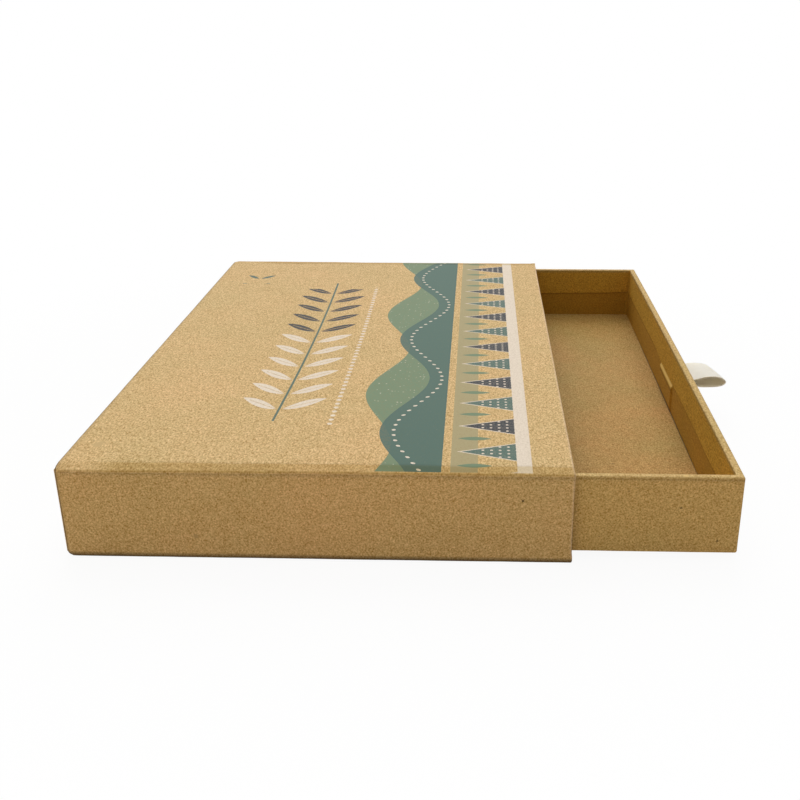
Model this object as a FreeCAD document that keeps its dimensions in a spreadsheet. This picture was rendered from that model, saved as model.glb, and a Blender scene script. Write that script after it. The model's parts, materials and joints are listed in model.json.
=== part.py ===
import FreeCAD, Part
import math
import os
import re

import Sketcher

# Drawer gift box in rigid board: a sleeve closed at one end, and a tray that slides out of its mouth.
# Origin: centre of the sleeve's underside. +Z up, +X the way the drawer pulls out, +Y to the rear.

VECTOR = FreeCAD.Vector
LOW, HIGH, BOTH = (0,), (1,), (0, 1)
ALIGNED = 0.999
SAME_PLACE = 1e-4

# Driving dimensions, in millimetres.
SIZES = [
    ("sleeve_length", "188", "closed end to mouth, outside"),
    ("sleeve_width", "300", "outside, across the slide"),
    ("sleeve_height", "36.5", "outside"),
    ("wrap_paper", "0.2", "kraft covering paper"),
    ("liner_paper", "0.15", "kraft lining paper"),
    ("panel_board", "2", "greyboard of the sleeve's top and bottom"),
    ("wall_board", "3", "greyboard of the sleeve's sides and end"),
    ("tray_board", "3", "greyboard of the drawer's walls"),
    ("base_board", "2.5", "greyboard of the drawer's floor"),
    ("fold_radius", "1", "outside of the sleeve's folded edges"),
    ("tray_fold_radius", "0.9", "outside of the drawer's folded edges"),
    ("mouth_turn_in", "15", "wrap folded back into the mouth"),
    ("end_flap_reach", "15", "wrap folded over the closed end from each side"),
    ("end_flap_gap", "5.5", "bare strip between the upper and lower end flaps"),
    ("end_paper_margin", "0.4", "end sheet stops this far inside the folds"),
    ("tray_turn_in", "14", "wrap folded down inside the drawer's rim"),
    ("gap_under", "0.2", "drawer to the sleeve's lower turn-in"),
    ("gap_over", "0.2", "drawer to the sleeve's upper turn-in"),
    ("gap_side", "0.6", "drawer to the sleeve's turn-in, each side"),
    ("gap_end", "0.65", "drawer's tail to the closed end when shut"),
    ("drawer_out", "61.5", "pull wall beyond the mouth in the stored pose"),
    ("stay_reach", "12", "corner tape on each of its two walls"),
    ("stay_paper", "0.1", "corner tape"),
    ("slot_length", "33", "ribbon slot in the pull wall"),
    ("slot_height", "1.4", "ribbon slot"),
    ("slot_rise", "15.9", "slot's middle above the drawer's underside"),
    ("ribbon_width", "20", "woven ribbon"),
    ("ribbon_thickness", "0.5", "one layer"),
    ("ribbon_tail", "12", "ribbon glued down inside, below the slot's middle"),
    ("ribbon_recess_gap", "0.3", "recess beyond the ribbon's tails"),
    ("ribbon_stub", "0.5", "tails beyond the pull wall's outer face"),
    ("ribbon_root_gap", "0.2", "running gap where the loop starts to bend"),
    ("ribbon_reach", "23.7", "loop beyond the pull wall's outer face"),
    ("ribbon_tip_radius", "2", "inside of the loop's tip"),
    ("ribbon_arch_radius", "33", "inside of the loop's upper layer"),
    ("ribbon_droop", "4.5", "degrees that the loop hangs below level"),
]

# Sizes and places that follow from the driving dimensions.
FITS = [
    ("board_fold", "fold_radius - wrap_paper", "folds of the sleeve's boards"),
    ("wrap_length", "sleeve_length - wrap_paper", "wrap without the end sheet"),
    ("mouth_place", "sleeve_length / 2", "plane of the mouth"),
    ("middle_height", "sleeve_height / 2", "middle of the sleeve"),
    ("board_run", "wrap_length - 2 * wrap_paper", "boards between end flap and mouth lip"),
    ("board_front", "mouth_place - wrap_paper", "mouth end of the boards"),
    ("board_back", "board_front - board_run", "closed end of the boards"),
    ("board_width", "sleeve_width - 2 * wrap_paper", "outside of the sleeve's boards"),
    ("board_height", "sleeve_height - 2 * wrap_paper", "side and end boards"),
    ("core_width", "sleeve_width - 2 * wrap_paper - 2 * wall_board", "between the side boards"),
    ("core_height", "board_height - 2 * panel_board", "between the panels"),
    ("panel_run", "board_run - wall_board", "panels in front of the end board"),
    ("panel_middle", "board_front - panel_run / 2", "middle of the panels"),
    ("side_middle", "board_front - board_run / 2", "middle of the side boards"),
    ("side_place", "sleeve_width / 2 - wrap_paper - wall_board / 2", "middle of a side board"),
    ("end_place", "board_back + wall_board / 2", "middle of the end board"),
    ("end_liner_place", "board_back + wall_board + liner_paper / 2", "middle of the end liner"),
    ("liner_run", "panel_run - liner_paper", "liner tube"),
    ("liner_width", "core_width - 2 * liner_paper", "inside of the liner tube"),
    ("liner_height", "core_height - 2 * liner_paper", "inside of the liner tube"),
    ("mouth_width", "liner_width - 2 * wrap_paper", "clear opening at the turn-in"),
    ("mouth_height", "liner_height - 2 * wrap_paper", "clear opening at the turn-in"),
    ("flap_window_width", "sleeve_width - 2 * end_flap_reach", "bare board between the side flaps"),
    ("end_sheet_width", "sleeve_width - 2 * (fold_radius + end_paper_margin)", "end sheet"),
    ("end_sheet_height", "sleeve_height - 2 * (fold_radius + end_paper_margin)", "end sheet"),
    ("end_sheet_place", "-sleeve_length / 2 + wrap_paper / 2", "middle of the end sheet"),
    ("tray_length", "liner_run - gap_end + wrap_paper", "drawer outside, flush when shut"),
    ("tray_width", "mouth_width - 2 * gap_side", "drawer outside"),
    ("tray_height", "mouth_height - gap_under - gap_over", "drawer outside"),
    ("tray_floor", "middle_height - mouth_height / 2 + gap_under", "drawer's underside"),
    ("tray_rim", "tray_floor + tray_height", "drawer's rim"),
    ("tray_pull_face", "mouth_place + drawer_out", "outer face of the pull wall"),
    ("tray_middle", "tray_pull_face - tray_length / 2", "middle of the drawer"),
    ("tray_fold", "tray_fold_radius - wrap_paper", "folds of the drawer's boards"),
    ("stay_fold", "tray_fold + stay_paper", "outside of the corner tape"),
    ("tray_board_length", "tray_length - 2 * wrap_paper", "outside of the drawer's boards"),
    ("tray_board_width", "tray_width - 2 * wrap_paper", "outside of the drawer's boards"),
    ("tray_board_height", "tray_height - 2 * wrap_paper", "walls, between wrap and lip"),
    ("tray_board_floor", "tray_floor + wrap_paper", "underside of the drawer's boards"),
    ("well_length", "tray_board_length - 2 * tray_board", "inside of the drawer's walls"),
    ("well_width", "tray_board_width - 2 * tray_board", "inside of the drawer's walls"),
    ("tray_end_offset", "tray_board_length / 2 - tray_board / 2", "drawer's middle to an end wall"),
    ("tray_side_place", "tray_board_width / 2 - tray_board / 2", "middle of a long wall"),
    ("base_liner_floor", "tray_board_floor + base_board", "underside of the base liner"),
    ("wall_liner_floor", "base_liner_floor + liner_paper", "underside of the wall liner"),
    ("wall_liner_height", "tray_rim - wrap_paper - wall_liner_floor", "wall liner"),
    ("lined_length", "well_length - 2 * liner_paper", "inside of the wall liner"),
    ("lined_width", "well_width - 2 * liner_paper", "inside of the wall liner"),
    ("rim_length", "lined_length - 2 * wrap_paper", "clear opening at the drawer's rim"),
    ("rim_width", "lined_width - 2 * wrap_paper", "clear opening at the drawer's rim"),
    ("stay_height", "tray_board_height - tray_fold", "tape above the bottom fold"),
    ("stay_floor", "tray_board_floor + tray_fold", "tape above the bottom fold"),
    ("slot_place", "tray_floor + slot_rise", "height of the slot's middle"),
    ("ribbon_stack", "2 * ribbon_thickness", "both layers"),
    ("ribbon_bend", "1.5 * ribbon_thickness", "outside of the fold behind the liner"),
    ("pull_board_inside", "tray_pull_face - wrap_paper - tray_board", "inner face of the pull board"),
    ("ribbon_through", "wrap_paper + tray_board + ribbon_stub", "tails through the pull wall"),
    ("ribbon_drop", "ribbon_tail + ribbon_thickness", "tails down the pull board"),
    ("recess_width", "ribbon_width + 2 * ribbon_recess_gap", "recess for the tails"),
    ("recess_height", "ribbon_tail + ribbon_recess_gap + slot_height / 2", "recess for the tails"),
    ("recess_rise", "slot_place + slot_height / 2 - recess_height / 2", "middle of the recess"),
    ("loop_root", "tray_pull_face + ribbon_stub + ribbon_root_gap + ribbon_thickness", "bend axis"),
    ("loop_reach", "tray_pull_face + ribbon_reach - loop_root", "bend axis to the loop's tip"),
]

doc = FreeCAD.newDocument("drawer_gift_box")
HOME = {row[0]: "Sizes" for row in SIZES}
HOME.update({row[0]: "Fits" for row in FITS})


def linked(text):
    """Expression text with each named size written as its spreadsheet cell."""
    return re.sub(r"[a-z][a-z_]*", lambda word: f"{HOME[word.group()]}.{word.group()}", text)


def fill_sheet(name, rows, is_formula):
    """Writes one spreadsheet: the note, the value and its alias on each row."""
    sheet = doc.addObject("Spreadsheet::Sheet", name)
    for number, (alias, value, note) in enumerate(rows, start=1):
        sheet.set(f"A{number}", note)
        sheet.setAlias(f"B{number}", alias)
    doc.recompute()
    for number, (alias, value, note) in enumerate(rows, start=1):
        sheet.set(f"B{number}", "=" + linked(value) if is_formula else value)
    doc.recompute()
    return sheet


SHEETS = {"Sizes": fill_sheet("Sizes", SIZES, False)}
SHEETS["Fits"] = fill_sheet("Fits", FITS, True)


def value(alias):
    """A named size as a number, in millimetres."""
    return float(getattr(SHEETS[HOME[alias]], alias))


def bind(item, **properties):
    """Ties properties to named sizes: Length="wrap_paper", or a formula of several."""
    for name, text in properties.items():
        item.setExpression(name, linked(text))


def place(item, x=None, y=None, z=None):
    """Ties an object's position to named sizes."""
    for axis, text in (("x", x), ("y", y), ("z", z)):
        if text is not None:
            item.setExpression(f"Placement.Base.{axis}", linked(text))


def new_body(label):
    body = doc.addObject("PartDesign::Body", label)
    body.Label = label
    return body


def new_sketch(body, role, **offset):
    """A sketch on one of the body's origin planes, shifted in its own axes by named sizes."""
    sketch = body.newObject("Sketcher::SketchObject", "Sketch")
    plane = [item for item in body.Origin.OriginFeatures if item.Role == role][0]
    sketch.AttachmentSupport = [(plane, "")]
    sketch.MapMode = "FlatFace"
    for axis, text in offset.items():
        sketch.setExpression(f"AttachmentOffset.Base.{axis}", linked(text))
    return sketch


def draw_rectangle(sketch, wide, high):
    """A rectangle centred on the sketch's origin, its sides tied to two named sizes."""
    half_wide, half_high = value(wide) / 2, value(high) / 2
    corners = [
        VECTOR(-half_wide, -half_high),
        VECTOR(half_wide, -half_high),
        VECTOR(half_wide, half_high),
        VECTOR(-half_wide, half_high),
    ]
    first = sketch.GeometryCount
    for index in range(4):
        sketch.addGeometry(Part.LineSegment(corners[index], corners[(index + 1) % 4]), False)
    for index in range(4):
        sketch.addConstraint(
            Sketcher.Constraint("Coincident", first + index, 2, first + (index + 1) % 4, 1)
        )
    for index in (0, 2):
        sketch.addConstraint(Sketcher.Constraint("Horizontal", first + index))
        sketch.addConstraint(Sketcher.Constraint("Vertical", first + index + 1))
    sketch.addConstraint(Sketcher.Constraint("Symmetric", first, 1, first + 2, 1, -1, 1))
    tie_datum(sketch, Sketcher.Constraint("DistanceX", first, 1, first, 2, 2 * half_wide), wide)
    tie_datum(sketch, Sketcher.Constraint("DistanceY", first + 1, 1, first + 1, 2, 2 * half_high), high)


def draw_rounded_rectangle(sketch, wide, high, radius):
    """The same with rounded corners."""
    half_wide, half_high, corner = value(wide) / 2, value(high) / 2, value(radius)
    across, up = half_wide - corner, half_high - corner
    first = sketch.GeometryCount
    sides = [
        (VECTOR(-across, -half_high), VECTOR(across, -half_high)),
        (VECTOR(half_wide, -up), VECTOR(half_wide, up)),
        (VECTOR(across, half_high), VECTOR(-across, half_high)),
        (VECTOR(-half_wide, up), VECTOR(-half_wide, -up)),
    ]
    for start, end in sides:
        sketch.addGeometry(Part.LineSegment(start, end), False)
    centres = [VECTOR(across, -up), VECTOR(across, up), VECTOR(-across, up), VECTOR(-across, -up)]
    for index, centre in enumerate(centres):
        circle = Part.Circle(centre, VECTOR(0, 0, 1), corner)
        start = (index - 1) * math.pi / 2
        sketch.addGeometry(Part.ArcOfCircle(circle, start, start + math.pi / 2), False)
    for index in range(4):
        arc = first + 4 + index
        sketch.addConstraint(Sketcher.Constraint("Tangent", first + index, 2, arc, 1))
        sketch.addConstraint(Sketcher.Constraint("Tangent", arc, 2, first + (index + 1) % 4, 1))
    for index in (0, 2):
        sketch.addConstraint(Sketcher.Constraint("Horizontal", first + index))
    sketch.addConstraint(Sketcher.Constraint("Vertical", first + 1))
    for index in range(1, 4):
        sketch.addConstraint(Sketcher.Constraint("Equal", first + 4, first + 4 + index))
    sketch.addConstraint(Sketcher.Constraint("Symmetric", first, 1, first + 2, 1, -1, 1))
    tie_datum(sketch, Sketcher.Constraint("Radius", first + 4, corner), radius)
    tie_datum(
        sketch,
        Sketcher.Constraint("DistanceX", first + 3, 1, first + 1, 1, 2 * half_wide),
        wide,
    )
    tie_datum(
        sketch,
        Sketcher.Constraint("DistanceY", first, 1, first + 2, 1, 2 * half_high),
        high,
    )


def tie_datum(sketch, constraint, alias):
    index = sketch.addConstraint(constraint)
    sketch.setExpression(f"Constraints[{index}]", linked(alias))


def pad(body, sketch, length, backward=False):
    feature = body.newObject("PartDesign::Pad", "Pad")
    feature.Profile = sketch
    feature.Reversed = backward
    bind(feature, Length=length)
    doc.recompute()
    return feature


def pocket(body, sketch, length, backward=False):
    """Cuts a sketch's outline out of the body, and stops if nothing was removed."""
    before = body.Shape.Volume
    feature = body.newObject("PartDesign::Pocket", "Pocket")
    feature.Profile = sketch
    feature.Reversed = backward
    bind(feature, Length=length)
    doc.recompute()
    if body.Shape.Volume >= before:
        raise RuntimeError(f"a cut in {body.Label} removes nothing")
    return feature


def edges_along(shape, axis, inset=0.0, **sides):
    """Names of straight edges that run along an axis, inset from the given sides of the shape's box."""
    box = shape.BoundBox
    limits = {
        "x": (box.XMin + inset, box.XMax - inset),
        "y": (box.YMin + inset, box.YMax - inset),
        "z": (box.ZMin + inset, box.ZMax - inset),
    }
    names = []
    for number, edge in enumerate(shape.Edges, start=1):
        if edge.Degenerated or not isinstance(edge.Curve, Part.Line):
            continue
        run = edge.Vertexes[1].Point - edge.Vertexes[0].Point
        if abs(getattr(run.normalize(), axis)) < ALIGNED:
            continue
        middle = edge.CenterOfMass
        chosen = [
            any(abs(getattr(middle, name) - limits[name][side]) < SAME_PLACE for side in allowed)
            for name, allowed in sides.items()
        ]
        if all(chosen):
            names.append(f"Edge{number}")
    return names


def fold_edges(body, base, radius, *choices, inset=0.0):
    """Rounds the chosen edges of a body's last feature."""
    names = []
    for axis, sides in choices:
        names += edges_along(base.Shape, axis, inset, **sides)
    feature = body.newObject("PartDesign::Fillet", "Fold")
    feature.Base = (base, sorted(set(names)))
    bind(feature, Radius=radius)
    doc.recompute()
    return feature


def plate(label, size, position):
    """A sheet of board or paper: a centred rectangle, padded up from its underside."""
    body = new_body(label)
    sketch = new_sketch(body, "XY_Plane")
    draw_rectangle(sketch, size[0], size[1])
    feature = pad(body, sketch, size[2])
    place(body, *position)
    return body, feature


def folded_skin(body, role, wide, high, run, inner, radius, inner_radius, *choices):
    """A paper skin open at its sketch plane: a block, hollowed, then folded inside and outside."""
    block = new_sketch(body, role)
    draw_rectangle(block, wide, high)
    pad(body, block, run, backward=True)
    hollow = new_sketch(body, role)
    draw_rectangle(hollow, *inner)
    open_skin = pocket(body, hollow, f"{run} - wrap_paper")
    creased = fold_edges(body, open_skin, inner_radius, *choices, inset=value("wrap_paper"))
    return fold_edges(body, creased, radius, *choices)


# Sleeve boards -------------------------------------------------------------------------------

def sleeve_boards():
    """Thin panels above and below, held between thicker sides and end."""
    panel = ("panel_run", "core_width", "panel_board")
    plate("sleeve_bottom_board", panel, ("panel_middle", None, "wrap_paper"))
    plate(
        "sleeve_top_board",
        panel,
        ("panel_middle", None, "sleeve_height - wrap_paper - panel_board"),
    )
    for label, sign, outer in (("sleeve_front_board", "-1", LOW), ("sleeve_rear_board", "1", HIGH)):
        body, base = plate(
            label,
            ("board_run", "wall_board", "board_height"),
            ("side_middle", f"{sign} * side_place", "wrap_paper"),
        )
        fold_edges(
            body, base, "board_fold",
            ("x", {"y": outer}),
            ("y", {"x": LOW}),
            ("z", {"x": LOW, "y": outer}),
        )
    body, base = plate(
        "sleeve_end_board",
        ("wall_board", "core_width", "board_height"),
        ("end_place", None, "wrap_paper"),
    )
    fold_edges(body, base, "board_fold", ("y", {"x": LOW}))


# Sleeve papers -------------------------------------------------------------------------------

def sleeve_wrap():
    """Kraft skin: lip and turn-in at the mouth, flaps that leave a strip bare at the closed end."""
    body = new_body("sleeve_wrap")
    folded_skin(
        body, "YZ_Plane", "sleeve_width", "sleeve_height", "wrap_length",
        ("board_width", "board_height"), "fold_radius", "board_fold",
        ("x", {"y": BOTH, "z": BOTH}),
        ("y", {"x": LOW, "z": BOTH}),
        ("z", {"x": LOW, "y": BOTH}),
    )
    lip = new_sketch(body, "YZ_Plane")
    draw_rounded_rectangle(lip, "sleeve_width", "sleeve_height", "fold_radius")
    draw_rectangle(lip, "mouth_width", "mouth_height")
    pad(body, lip, "wrap_paper", backward=True)
    turn_in = new_sketch(body, "YZ_Plane")
    draw_rectangle(turn_in, "liner_width", "liner_height")
    draw_rectangle(turn_in, "mouth_width", "mouth_height")
    pad(body, turn_in, "mouth_turn_in", backward=True)
    window = new_sketch(body, "YZ_Plane", z="-wrap_length")
    draw_rectangle(window, "flap_window_width", "end_flap_gap")
    pocket(body, window, "wrap_paper", backward=True)
    place(body, "mouth_place", None, "middle_height")


def sleeve_papers():
    """Sheet over the end flaps, and the lining."""
    sheet = ("wrap_paper", "end_sheet_width", "end_sheet_height")
    plate(
        "sleeve_end_paper", sheet,
        ("end_sheet_place", None, "middle_height - end_sheet_height / 2"),
    )
    plate(
        "sleeve_end_liner",
        ("liner_paper", "core_width", "core_height"),
        ("end_liner_place", None, "middle_height - core_height / 2"),
    )
    body = new_body("sleeve_liner")
    tube = new_sketch(body, "YZ_Plane")
    draw_rectangle(tube, "core_width", "core_height")
    draw_rectangle(tube, "liner_width", "liner_height")
    pad(body, tube, "liner_run", backward=True)
    place(body, "board_front", None, "middle_height")


# Drawer boards -------------------------------------------------------------------------------

def drawer_boards():
    """A floor between four walls. The end walls run the full width and carry the corners."""
    plate(
        "drawer_base_board",
        ("well_length", "well_width", "base_board"),
        ("tray_middle", None, "tray_board_floor"),
    )
    walls = (("drawer_pull_board", "1", HIGH), ("drawer_tail_board", "-1", LOW))
    for label, sign, outer in walls:
        body, base = plate(
            label,
            ("tray_board", "tray_board_width", "tray_board_height"),
            ("tray_middle + " + sign + " * tray_end_offset", None, "tray_board_floor"),
        )
        fold_edges(
            body, base, "tray_fold",
            ("z", {"x": outer}),
            ("y", {"x": outer, "z": LOW}),
            ("x", {"z": LOW}),
        )
        if outer == HIGH:
            # the slot, and the recess that seats the ribbon's tails flush with the inner face
            slot = new_sketch(
                body, "YZ_Plane", y="slot_place - tray_board_floor", z="-tray_board"
            )
            draw_rectangle(slot, "slot_length", "slot_height")
            pocket(body, slot, "2 * tray_board", backward=True)
            recess = new_sketch(
                body, "YZ_Plane", y="recess_rise - tray_board_floor", z="-tray_board / 2"
            )
            draw_rectangle(recess, "recess_width", "recess_height")
            pocket(body, recess, "ribbon_stack", backward=True)
    walls = (("drawer_front_board", "-1", LOW), ("drawer_rear_board", "1", HIGH))
    for label, sign, outer in walls:
        body, base = plate(
            label,
            ("well_length", "tray_board", "tray_board_height"),
            ("tray_middle", f"{sign} * tray_side_place", "tray_board_floor"),
        )
        fold_edges(body, base, "tray_fold", ("x", {"y": outer, "z": LOW}))


# Drawer papers -------------------------------------------------------------------------------

def centred_box(name, length, width, height, floor, radius=None):
    """A box round the drawer's middle, its upright edges rounded if a radius is given."""
    box = doc.addObject("Part::Box", name)
    bind(box, Length=length, Width=width, Height=height)
    place(box, f"tray_middle - ({length}) / 2", f"-({width}) / 2", floor)
    doc.recompute()
    if radius is None:
        return box
    rounded = doc.addObject("Part::Fillet", name + "_rounded")
    rounded.Base = box
    names = edges_along(box.Shape, "z", x=BOTH, y=BOTH)
    rounded.Edges = [(int(edge[4:]), value(radius), value(radius)) for edge in names]
    doc.recompute()
    return rounded


def cut(label, base, tool):
    result = doc.addObject("Part::Cut", label)
    result.Label = label
    result.Base = base
    result.Tool = tool
    doc.recompute()
    return result


def corner_stays():
    """Four paper tapes, one round each upright corner of the boards."""
    outer = centred_box(
        "stay_outside",
        "tray_board_length + 2 * stay_paper",
        "tray_board_width + 2 * stay_paper",
        "stay_height",
        "stay_floor",
        "stay_fold",
    )
    inner = centred_box(
        "stay_inside", "tray_board_length", "tray_board_width", "stay_height", "stay_floor",
        "tray_fold",
    )
    ring = cut("stay_ring", outer, inner)
    clear_length = "tray_board_length - 2 * stay_reach"
    clear_width = "tray_board_width - 2 * stay_reach"
    along = centred_box(
        "stay_gap_along", clear_length, "tray_width", "stay_height", "stay_floor"
    )
    across = centred_box(
        "stay_gap_across", "tray_length", clear_width, "stay_height", "stay_floor"
    )
    return cut("drawer_corner_stays", cut("stay_ring_sides", ring, along), across)


def drawer_wrap(stays):
    """Kraft skin: lip over the rim, turn-in down the inside, slot for the ribbon, room for the tapes."""
    body = new_body("drawer_skin")
    folded_skin(
        body, "XY_Plane", "tray_length", "tray_width", "tray_height",
        ("tray_board_length", "tray_board_width"), "tray_fold_radius", "tray_fold",
        ("z", {"x": BOTH, "y": BOTH}),
        ("x", {"y": BOTH, "z": LOW}),
        ("y", {"x": BOTH, "z": LOW}),
    )
    lip = new_sketch(body, "XY_Plane")
    draw_rounded_rectangle(lip, "tray_length", "tray_width", "tray_fold_radius")
    draw_rectangle(lip, "rim_length", "rim_width")
    pad(body, lip, "wrap_paper", backward=True)
    turn_in = new_sketch(body, "XY_Plane")
    draw_rectangle(turn_in, "lined_length", "lined_width")
    draw_rectangle(turn_in, "rim_length", "rim_width")
    pad(body, turn_in, "tray_turn_in", backward=True)
    slot = new_sketch(body, "YZ_Plane", y="slot_place - tray_rim", z="tray_length / 2 - tray_board")
    draw_rectangle(slot, "slot_length", "slot_height")
    pocket(body, slot, "tray_board + wrap_paper", backward=True)
    place(body, "tray_middle", None, "tray_rim")
    doc.recompute()
    cut("drawer_wrap", body, stays)


def drawer_liners():
    plate(
        "drawer_base_liner",
        ("well_length", "well_width", "liner_paper"),
        ("tray_middle", None, "base_liner_floor"),
    )
    body = new_body("drawer_wall_liner")
    tube = new_sketch(body, "XY_Plane")
    draw_rectangle(tube, "well_length", "well_width")
    draw_rectangle(tube, "lined_length", "lined_width")
    pad(body, tube, "wall_liner_height")
    slot = new_sketch(
        body, "YZ_Plane", y="slot_place - wall_liner_floor", z="lined_length / 2 - liner_paper"
    )
    draw_rectangle(slot, "slot_length", "slot_height")
    pocket(body, slot, "3 * liner_paper", backward=True)
    place(body, "tray_middle", None, "wall_liner_floor")


# Ribbon --------------------------------------------------------------------------------------

def ribbon_tails():
    """Both layers together: through the slot, over a bend and down behind the liner."""
    through = doc.addObject("Part::Box", "tails_through")
    bind(through, Length="ribbon_through", Width="ribbon_width", Height="ribbon_stack")
    place(through, "pull_board_inside", "-ribbon_width / 2", "slot_place - ribbon_thickness")
    down = doc.addObject("Part::Box", "tails_down")
    bind(down, Length="ribbon_stack", Width="ribbon_width", Height="ribbon_drop")
    place(down, "pull_board_inside", "-ribbon_width / 2", "slot_place - ribbon_tail")
    whole = doc.addObject("Part::Fuse", "tails_whole")
    whole.Base = through
    whole.Tool = down
    whole.Refine = True
    doc.recompute()
    bend = doc.addObject("Part::Fillet", "ribbon_tails")
    bend.Label = "ribbon_tails"
    bend.Base = whole
    names = edges_along(whole.Shape, "y", x=LOW, z=HIGH)
    bend.Edges = [(int(edge[4:]), value("ribbon_bend"), value("ribbon_bend")) for edge in names]
    doc.recompute()


def ribbon_loop():
    """The pull loop: a flat lower layer, a round tip and an arched upper layer that meet at the root.

    Drawn round its bend axis. The inner outline starts and ends on that axis, and the outer one lies
    one thickness outside it: both are lines and arcs about the same two centres.
    """
    thickness = value("ribbon_thickness")
    tip_radius, arch_radius = value("ribbon_tip_radius"), value("ribbon_arch_radius")
    tip_centre = VECTOR(value("loop_reach") - thickness - tip_radius, 0, tip_radius)
    # the arch passes through the axis and touches the tip's circle from outside
    span = tip_centre.Length
    along = (arch_radius**2 - (arch_radius - tip_radius) ** 2 + span**2) / (2 * span)
    below = math.sqrt(arch_radius**2 - along**2)
    forward = VECTOR(tip_centre).normalize()
    arch_centre = forward * along + VECTOR(forward.z, 0, -forward.x) * below
    meet_way = (tip_centre - arch_centre).normalize()

    def outline(grow):
        """Outline offset outward by grow, from the axis plane round the tip and back to it."""
        tip, arch = tip_radius + grow, arch_radius + grow
        low_start = VECTOR(0, 0, -grow)
        low_end = VECTOR(tip_centre.x, 0, -grow)
        nose = tip_centre + VECTOR(tip, 0, 0)
        meet = arch_centre + meet_way * arch
        top_end = VECTOR(0, 0, arch_centre.z + math.sqrt(arch**2 - arch_centre.x**2))
        halfway_point = (meet + top_end) / 2
        halfway = arch_centre + (halfway_point - arch_centre).normalize() * arch
        edges = [
            Part.LineSegment(low_start, low_end).toShape(),
            Part.Arc(low_end, nose, meet).toShape(),
            Part.Arc(meet, halfway, top_end).toShape(),
        ]
        return edges, low_start, top_end

    outer_edges, low_start, top_end = outline(thickness)
    outer_edges.append(Part.Arc(top_end, VECTOR(-thickness, 0, 0), low_start).toShape())
    inner_edges = outline(0)[0]
    outlines = [Part.Wire(outer_edges), Part.Wire(inner_edges)]
    face = Part.makeFace(outlines, "Part::FaceMakerBullseye")
    width = value("ribbon_width")
    loop = doc.addObject("Part::Feature", "ribbon_loop")
    loop.Label = "ribbon_loop"
    loop.Shape = face.extrude(VECTOR(0, width, 0))
    root = VECTOR(value("loop_root"), -width / 2, value("slot_place"))
    loop.Placement = FreeCAD.Placement(root, FreeCAD.Rotation(VECTOR(0, 1, 0), value("ribbon_droop")))


NODES = [
    "sleeve_top_board", "sleeve_bottom_board", "sleeve_front_board", "sleeve_rear_board",
    "sleeve_end_board", "sleeve_wrap", "sleeve_end_paper", "sleeve_liner", "sleeve_end_liner",
    "drawer_base_board", "drawer_pull_board", "drawer_tail_board", "drawer_front_board",
    "drawer_rear_board", "drawer_corner_stays", "drawer_wrap", "drawer_wall_liner",
    "drawer_base_liner", "ribbon_tails", "ribbon_loop",
]

sleeve_boards()
sleeve_wrap()
sleeve_papers()
drawer_boards()
drawer_wrap(corner_stays())
drawer_liners()
ribbon_tails()
ribbon_loop()
doc.recompute()

for item in doc.Objects:
    if "Invalid" in item.State or "Error" in item.State:
        raise RuntimeError(f"{item.Label} did not compute: {item.State}")

os.makedirs("parts", exist_ok=True)
shapes = {}
for label in NODES:
    shape = doc.getObjectsByLabel(label)[0].Shape
    if shape.isNull() or not shape.isValid() or not shape.Solids:
        raise RuntimeError(f"{label} is not a valid solid")
    shapes[label] = shape
for label, shape in shapes.items():
    shape.exportStep(f"parts/{label}.step")
    box = shape.BoundBox
    print(
        f"{label:22s} solids {len(shape.Solids)} volume {shape.Volume:10.1f}"
        f"  x {box.XMin:8.2f} {box.XMax:8.2f}  y {box.YMin:8.2f} {box.YMax:8.2f}"
        f"  z {box.ZMin:7.2f} {box.ZMax:7.2f}"
    )
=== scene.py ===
import json
import math

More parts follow.
